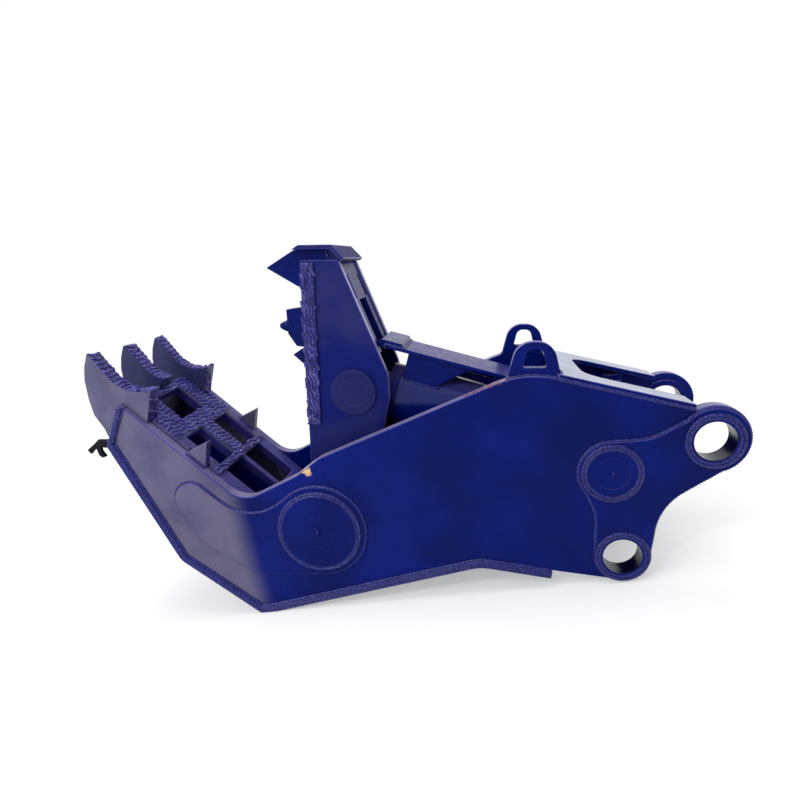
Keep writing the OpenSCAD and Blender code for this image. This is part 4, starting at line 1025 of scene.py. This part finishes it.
@dataclass
class LowerFrame:
    """The welded lower jaw that hangs on the excavator's two pins."""

    maker: Maker
    palette: Palette
    slope: Slope
    arm: Vector
    link: Vector
    bore_r: float
    edge: float = 0.0025
    weld_r: float = 0.0068
    band_r: float = 0.0045
    band_depths: tuple[float, float] = (1, 2.6)
    hatch_r: float = 0.0046
    hatch_gap: float = 0.018
    bare_land: tuple[float, float] = (0.418, 0.575)
    bar_half: float = 0.046
    run_share: float = 0.8
    top_tilt: float = 0.3
    worn_tilt: float = 0.15
    fin_tilt: float = -0.1
    ring_step: float = 1.4
    same_face: float = 0.001
    plates: tuple[str, ...] = (
        "ear_plates", "cheek_plates", "belly_plate", "nose_plate",
        "lifting_lugs", "pivot_bosses", "base_bosses", "port_block",
        "base_spacers", "rear_ribs", "front_rib", "centre_web")
    hazed: tuple[str, ...] = ("cheek_plates", "nose_plate")
    worn: tuple[str, ...] = ("tooth_near", "tooth_middle", "tooth_far", "side_fins", "wear_plate")
    turned: tuple[str, ...] = ("frame_keepers", "frame_keeper_bolts", "port_adapters", "grease_nipples")
    coated: dict[str, str] = field(default_factory=lambda: {"thrust_washers": "bronze"})

    def build(self) -> None:
        """Makes the plates, sleeves and pins of the lower frame."""
        paint = self.palette.paint
        # Rounded edges of the plates take a lighter paint as a painted highlight.
        rim = self.palette.rim
        for node in self.plates:
            # The cheek and nose plates take the side plates' paint with its painted reflection towards the
            # front.
            coat = self.palette.plate if node in self.hazed else paint
            self.maker.worked(node, Body.FRAME, Slot.PAINT, [coat, rim], self.edge, rim=1)
        # Upward faces of the side plates and the top plate take a lighter paint, a painted reflection of the
        # sky.
        for node, coat, top in (("side_plate_near", self.palette.plate, self.palette.strip),
                                ("side_plate_far", self.palette.plate, self.palette.strip),
                                ("top_plate", paint, self.palette.silver)):
            self.maker.worked(node, Body.FRAME, Slot.PAINT, [coat, top, rim], self.edge,
                              self._on_top, 2)
        self.maker.worked("tie_hook", Body.FRAME, Slot.PAINT, [self.palette.black], self.edge)
        # The face plate takes its lighter paint, painted light on its slope.
        self.maker.worked("face_plate", Body.FRAME, Slot.FACE, [self.palette.face, rim], self.edge, rim=1)
        for node, at in (("arm_sleeves", self.arm), ("link_sleeves", self.link)):
            self.maker.worked(node, Body.FRAME, Slot.PAINT, [paint, self.palette.bore], self.edge,
                              lambda face, at=at: self._in_bore(face, at))
        for node in ("pivot_pin", "base_pin"):
            self.maker.worked(node, Body.FRAME, Slot.STEEL, [paint], self.edge)
        for node in self.turned:
            self.maker.worked(node, Body.FRAME, Slot.STEEL, [paint], self.edge / 4)
        for node, finish in self.coated.items():
            self.maker.coat(node, getattr(self.palette, finish))

    def _on_top(self, face: bmesh.types.BMFace) -> bool:
        """Says if a face looks up and not sideways."""
        return face.normal.z > self.top_tilt and abs(face.normal.y) < self.top_tilt

    def _in_bore(self, face: bmesh.types.BMFace, at: Vector) -> bool:
        """Says if a face is part of a bore's wall."""
        centre = face.calc_center_median() - at
        centre.y = 0
        return centre.length < self.bore_r * 1.05 and abs(face.normal.y) < 0.5

    def dress(self) -> None:
        """Lays the hard-facing and the welds."""
        for node in self.worn:
            # The middle and far teeth take the darker painted reflection as painted shade; the others take
            # the side plates' paint with its painted reflection.
            coat = self.palette.mist if node in ("tooth_middle", "tooth_far") else self.palette.plate
            self.maker.worked(node, Body.FRAME, Slot.WEAR, [coat, self.palette.wear], self.edge,
                              lambda face, node=node: self._hard_faced(face, node))
        self._hatch()
        self._weld()

    def _hard_faced(self, face: bmesh.types.BMFace, node: str) -> bool:
        """Says if a face of a worn node is under hard-facing."""
        if abs(face.normal.y) > FACING:
            return False
        if node == "side_fins":
            return face.normal.dot(self.slope.along()) < self.fin_tilt
        return face.normal.dot(self.slope.above()) > self.worn_tilt

    def _hatch(self) -> None:
        """Lays wavy rows of beads over the worn nodes, and short runs across them."""
        along, across = self.slope.along(), Vector((0, 1, 0))
        rows = Hatch(along + across * 0.12, self.hatch_gap, along * 0.0035, Vector((40, 95, 0)))
        runs = Hatch(across + along * 0.5, self.hatch_gap * 1.3, across * 0.003, Vector((80, 0, 0)),
                     patch=26, bare=-0.05)
        bead = Bead(self.hatch_r, ripple=0.24, step=0.005, sides=5, seed=3)
        for node in self.worn:
            for hatch, radius in ((rows, self.hatch_r), (runs, self.hatch_r * self.run_share)):
                bead.radius = radius
                bead.hatch(self.maker.stock, node, lambda f, node=node: self._hard_faced(f, node), hatch,
                           self._under_beads)
        self.maker.piece("lower_hard_facing", bead.finished(), Body.FRAME, Slot.WEAR, [self.palette.bead])

    def _band(self) -> None:
        """Lays lines of weld along the near and far edges of the belly and nose plates."""
        bead = Bead(self.band_r, ripple=0.24, seed=14)
        for node in ("belly_plate", "nose_plate"):
            for edge in (corner.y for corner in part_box(node)):
                rims = self.maker.stock.rims(node, lambda p, edge=edge: abs(p.y - edge) < self.same_face / 2)
                for path in rims:
                    spaced = path.spaced(bead.step)
                    depths = self.band_depths if path.closed else ()
                    bead.lay(spaced.inset(self.band_r * depth) for depth in depths)
        self.maker.piece("belly_welds", bead.finished(), Body.FRAME, Slot.PAINT, [self.palette.weld])

    def _under_beads(self, point: Vector) -> bool:
        """Says if beads cover a place, which they don't beside the windows."""
        u = self.slope.place(point)[0]
        return abs(point.y) < self.bar_half or not self.bare_land[0] < u < self.bare_land[1]

    def _weld(self) -> None:
        """Lays the welds between the frame's plates."""
        stock = self.maker.stock
        bead = Bead(self.weld_r, seed=11)
        for node, against in sided((
                ("cheek_plates", "side_plate_{}"), ("ear_plates", "side_plate_{}"),
                ("side_plate_{}", "belly_plate"), ("tooth_{}", "side_plate_{}"),
                ("tooth_middle", "face_plate"), ("side_fins", "face_plate"),
                ("side_fins", "side_plate_{}"), ("nose_plate", "side_plate_{}"),
                ("lifting_lugs", "top_plate"), ("lifting_lugs", "side_plate_{}"), ("tooth_{}", "nose_plate"),
                ("top_plate", "side_plate_{}"))):
            bead.lay(stock.seams(node, against))
        self.maker.piece("frame_welds", bead.finished(), Body.FRAME, Slot.PAINT, [self.palette.weld])
        self._band()
        rings = Bead(self.weld_r, seed=12)
        for node, plate in (("cheek_plates", "pivot_bosses"), ("ear_plates", "base_bosses"),
                            ("ear_plates", "arm_sleeves"), ("ear_plates", "link_sleeves")):
            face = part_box(node)[1].y
            outward = -1 if plate.endswith("sleeves") else 1
            rims = stock.seams(node, plate, lambda p, face=face: abs(abs(p.y) - face) < self.same_face)
            rings.ring(rims, self.weld_r * self.ring_step * outward)
        self.maker.piece("boss_welds", rings.finished(), Body.FRAME, Slot.PAINT, [self.palette.weld])


@dataclass
class UpperJaw:
    """The hinged jaw with its beak and crushing teeth."""

    maker: Maker
    palette: Palette
    slope: Slope
    edge: float = 0.0025
    weld_r: float = 0.005
    hatch_r: float = 0.004
    hatch_gap: float = 0.02
    front_tilt: float = 0.6
    ring_step: float = 1.4
    plates: tuple[str, ...] = (
        "jaw_plate_near", "jaw_plate_far", "jaw_face_plate", "jaw_back_plate", "crown_block", "crown_cap",
        "hub_tube", "rod_pin_bosses", "rod_pin_spacers", "rod_pin", "jaw_keeper")
    worn: tuple[str, ...] = ("beaks", "wear_strips", "crushing_tooth", "low_tooth_bar")
    coated: dict[str, str] = field(default_factory=lambda: {"pivot_bushes": "bronze"})

    def build(self) -> None:
        """Makes the jaw's plates, pin and teeth."""
        # The jaw plates take a lighter paint as a painted reflection. Their faces that look back take a pale
        # paint as a painted highlight, those of the back plate take a painted reflection, and all rounded
        # edges take a painted highlight.
        shades = {"jaw_plate_near": (self.palette.jaw, self.palette.lit),
                  "jaw_plate_far": (self.palette.jaw, self.palette.lit),
                  "jaw_back_plate": (self.palette.jaw, self.palette.lavender)}
        for node in self.plates:
            main, back = shades.get(node, (self.palette.clean, self.palette.clean))
            self.maker.worked(node, Body.JAW, Slot.PAINT, [main, back, self.palette.rim], self.edge,
                              lambda face: face.normal.dot(self.slope.above()) > FACING, 2)
        self.maker.worked("jaw_keeper_bolts", Body.JAW, Slot.STEEL, [self.palette.paint], self.edge / 4)
        for node in self.worn:
            self.maker.worked(node, Body.JAW, Slot.WEAR, [self.palette.paint, self.palette.wear], self.edge,
                              lambda face, node=node: self._hard_faced(face, node))
        for node, finish in self.coated.items():
            self.maker.coat(node, getattr(self.palette, finish))

    def _hard_faced(self, face: bmesh.types.BMFace, node: str) -> bool:
        """Says if a face of a worn node is under hard-facing."""
        front = -face.normal.dot(self.slope.above())
        return (node == "wear_strips" and abs(face.normal.y) > FACING) or front > self.front_tilt

    def dress(self) -> None:
        """Lays the hard-facing and the welds."""
        stock = self.maker.stock
        bead = Bead(self.hatch_r, ripple=0.26, step=0.0045, sides=5, seed=5)
        along, above, across = self.slope.along(), self.slope.above(), Vector((0, 1, 0))
        for faced, aside in ((lambda f: abs(f.normal.y) > FACING, above),
                             (lambda f: -f.normal.dot(above) > FACING, across)):
            for hatch in (
                    Hatch(along * 0.25 + aside, self.hatch_gap * 0.62, aside * 0.003, Vector((0, 0, 130)),
                          patch=40, bare=-0.25),
                    Hatch(along + aside * 0.5, self.hatch_gap * 1.4, along * 0.003, Vector((0, 0, 90)),
                          patch=33, bare=0)):
                bead.hatch(stock, "wear_strips", faced, hatch)
        self.maker.piece("jaw_hard_facing", bead.finished(), Body.JAW, Slot.WEAR, [self.palette.bead])
        weld = Bead(self.weld_r, seed=13)
        for node, against in sided((
                ("jaw_face_plate", "jaw_plate_{}"), ("jaw_back_plate", "jaw_plate_{}"),
                ("crown_cap", "jaw_plate_{}"), ("crown_cap", "beaks"), ("crushing_tooth", "jaw_face_plate"),
                ("low_tooth_bar", "jaw_face_plate"))):
            weld.lay(stock.seams(node, against))
        for plate in ("jaw_plate_near", "jaw_plate_far"):
            weld.ring(stock.seams("rod_pin_bosses", plate), self.weld_r * self.ring_step)
        self.maker.piece("jaw_welds", weld.finished(), Body.JAW, Slot.PAINT, [self.palette.weld])


@dataclass
class Cylinder:
    """The hydraulic cylinder with the guard on its barrel."""

    maker: Maker
    palette: Palette
    slope: Slope
    edge: float = 0.002
    weld_r: float = 0.0045
    top_tilt: float = 0.5
    nose_tilt: float = 0.3

    def build(self) -> None:
        """Makes the rod's and the barrel's pieces."""
        self.maker.worked("rod_eye", Body.ROD, Slot.PAINT, [self.palette.paint], self.edge)
        for node in ("barrel_tube", "base_eye"):
            self.maker.worked(node, Body.BARREL, Slot.PAINT, [self.palette.sheen], self.edge)
        # Upward faces of the guard take the lighter blue, a painted sky reflection.
        self.maker.worked("cylinder_guard", Body.BARREL, Slot.PAINT,
                          [self.palette.paint, self.palette.lavender], self.edge,
                          lambda face: face.normal.z > self.top_tilt)
        self.maker.worked("guard_nose", Body.BARREL, Slot.WEAR, [self.palette.paint, self.palette.wear],
                          self.edge, lambda face: -face.normal.dot(self.slope.above()) > self.nose_tilt)
        for node in ("gland_head", "oil_tube", "oil_fittings"):
            self.maker.worked(node, Body.BARREL, Slot.STEEL, [self.palette.paint], self.edge / 2)
        for node in ("piston_rod", "piston"):
            self.maker.coat(node, self.palette.steel)
        self.maker.coat("rod_bush", self.palette.bronze)
        self.maker.coat("piston_seals", self.palette.seal)

    def dress(self) -> None:
        """Lays the welds of the guard and the base eye."""
        stock = self.maker.stock
        weld = Bead(self.weld_r, seed=17)
        for node, against in (("cylinder_guard", "barrel_tube"), ("guard_nose", "cylinder_guard"),
                              ("base_eye", "barrel_tube")):
            weld.lay(stock.seams(node, against))
        self.maker.piece("barrel_welds", weld.finished(), Body.BARREL, Slot.PAINT, [self.palette.weld])


@dataclass(frozen=True)
class Lamp:
    """A square soft lamp: where it hangs, what it points at, its side in metres and its power in watts."""

    name: str
    place: tuple[float, float, float]
    target: tuple[float, float, float]
    side: float
    power: float

    def hang(self) -> None:
        """Adds the lamp to the scene."""
        light = bpy.data.lights.new(self.name, "AREA")
        light.size = self.side
        light.energy = self.power
        lamp = bpy.data.objects.new(self.name, light)
        lamp.location = self.place
        lamp.rotation_euler = (Vector(self.target) - Vector(self.place)).to_track_quat("-Z", "Y").to_euler()
        bpy.context.scene.collection.objects.link(lamp)


@dataclass
class Studio:
    """Floor, light and camera."""

    floor_z: float
    eye: Vector = field(default_factory=lambda: Vector((-0.582278, -1.871, 0.643496)))
    right: Vector = field(default_factory=lambda: Vector((0.971119, 0.14135, -0.192218)))
    up: Vector = field(default_factory=lambda: Vector((0.152393, 0.252423, 0.955541)))
    back: Vector = field(default_factory=lambda: Vector((0.183586, -0.957237, 0.223592)))
    lens: float = 24.471
    sensor: float = 36.0
    floor_size: float = 60.0
    shadow_share: float = 0.62
    fade: tuple[float, float] = (1.3, 2.6)
    middle_x: float = -0.95
    floor_grey: float = 0.9
    floor_white: float = 1.04
    sky: float = 0.72
    lamps: tuple[Lamp, ...] = (
        Lamp("overhead", (-0.8, 0.3, 3.4), (-0.9, 0.0, 0.2), 3.2, 95),
        Lamp("front_left", (-3.4, -2.6, 2.2), (-1.2, 0.0, 0.1), 1.4, 40),
        Lamp("glint", (-1.9, -3.0, 2.8), (-1.1, 0.0, 0.1), 0.2, 26),
        Lamp("low_left", (-3.0, -2.0, 0.3), (-1.75, -0.2, 0.1), 0.8, 9))

    def build(self) -> None:
        """Sets up the floor, the lamps, the world and the camera."""
        self._floor()
        self._world()
        for lamp in self.lamps:
            lamp.hang()
        self._camera()
        bpy.context.scene.view_settings.view_transform = "Standard"

    def _floor(self) -> None:
        """Lays a plain pale floor that keeps the object's shadow."""
        bm = bmesh.new()
        bmesh.ops.create_grid(bm, x_segments=1, y_segments=1, size=self.floor_size / 2)
        bmesh.ops.translate(bm, vec=Vector((0, 0, self.floor_z)), verts=bm.verts)
        mesh = bpy.data.meshes.new("floor")
        bm.to_mesh(mesh)
        bm.free()
        material = bpy.data.materials.new("pale_floor")
        material.use_nodes = True
        tree = material.node_tree
        tree.nodes.clear()
        place = add_node(tree, "TexCoord").outputs["Object"]
        away = add_node(tree, "VectorMath", {0: place, 1: (self.middle_x, 0.0, self.floor_z)},
                        operation="DISTANCE").outputs["Value"]
        near, far = self.fade
        span = {"Value": away, "From Min": near, "From Max": far, "To Min": 1 - self.shadow_share}
        fade = add_node(tree, "MapRange", span, interpolation_type="SMOOTHSTEP").outputs["Result"]
        share = add_node(tree, "Math", {0: self._seen(tree), 1: fade}, operation="MULTIPLY").outputs[0]
        matt = add_node(tree, "BsdfDiffuse", {"Color": (*[self.floor_grey] * 3, 1)})
        white = add_node(tree, "Emission", {"Strength": self.floor_white})
        blend = add_node(tree, "MixShader", {0: share, 1: matt.outputs[0], 2: white.outputs[0]})
        add_node(tree, "OutputMaterial", {"Surface": blend.outputs[0]})
        mesh.materials.append(material)
        floor = bpy.data.objects.new("floor", mesh)
        bpy.context.scene.collection.objects.link(floor)
        floor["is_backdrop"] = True

    @staticmethod
    def _seen(tree: bpy.types.NodeTree) -> Socket:
        """Returns 1 for camera, glossy and transmission rays."""
        path = add_node(tree, "LightPath")
        value = path.outputs["Is Camera Ray"]
        for name in ("Is Glossy Ray", "Is Transmission Ray"):
            value = add_node(tree, "Math", {0: value, 1: path.outputs[name]}, operation="MAXIMUM").outputs[0]
        return value

    def _world(self) -> None:
        """Makes a soft sky that looks white behind the object."""
        world = bpy.data.worlds.new("soft_sky")
        bpy.context.scene.world = world
        world.use_nodes = True
        tree = world.node_tree
        tree.nodes.clear()
        strength = add_node(tree, "MapRange", {"Value": self._seen(tree), "To Min": self.sky, "To Max": 1.0})
        sky = add_node(tree, "Background", {"Color": (1, 1, 1, 1), "Strength": strength.outputs[0]})
        add_node(tree, "OutputWorld", {"Surface": sky.outputs[0]})

    def _camera(self) -> None:
        """Sets the camera where the photograph was taken from."""
        camera = bpy.data.cameras.new("camera")
        camera.lens = self.lens
        camera.sensor_width = self.sensor
        camera.clip_end = 200
        seat = bpy.data.objects.new("camera", camera)
        turn = Matrix((self.right, self.up, self.back)).transposed().to_4x4()
        seat.matrix_world = Matrix.Translation(self.eye) @ turn
        bpy.context.scene.collection.objects.link(seat)
        bpy.context.scene.camera = seat


def main() -> None:
    logging.basicConfig(level=logging.INFO, format="%(message)s")
    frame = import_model()
    packed_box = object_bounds()
    joints = {joint["name"]: Vector(joint["pos_m"]) for joint in frame["joints"] if "pos_m" in joint}
    mounts = {mount["name"]: mount for mount in frame["record"]["mounts"]}
    pivot = joints["jaw_pivot"]
    rod_pin = joints["rod_pivot"]
    base_low, base_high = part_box("base_pin")
    base = Vector(((base_low.x + base_high.x) / 2, 0, (base_low.z + base_high.z) / 2))
    face = Slope(pivot, math.radians(130))
    jaw = Slope(pivot, math.radians(79.4))
    run = (base - rod_pin).normalized()
    cylinder = Slope(rod_pin, math.atan2(run.z, run.x))
    beige, rusty = Colour(206, 170, 128), Colour(96, 52, 48)
    spots = tuple((x, -0.236, z, 0.019, tone) for x, z, tone in (
        (-1.275, 0.092, beige), (-1.262, 0.082, beige), (-1.249, 0.072, beige), (-0.643, 0.267, rusty),
        (-0.618, 0.271, rusty), (-0.59, 0.277, rusty), (-0.563, 0.283, rusty), (-0.69, 0.257, rusty),
        (-0.665, 0.262, rusty)))
    palette = Palette.mixed(spots)
    maker = Maker(Stock(frame))
    parts = (
        LowerFrame(maker, palette, face, Vector(mounts["arm_pin_bore"]["pos_m"]),
                   Vector(mounts["link_pin_bore"]["pos_m"]), mounts["arm_pin_bore"]["dims"]["r_mm"] / 1000),
        UpperJaw(maker, palette, jaw),
        Cylinder(maker, palette, cylinder))
    for part in parts:
        part.build()
        part.dress()
        LOG.info("%s done", type(part).__name__)
    Studio(floor_z=packed_box[0].z).build()
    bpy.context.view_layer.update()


if __name__ == "__main__":
    main()
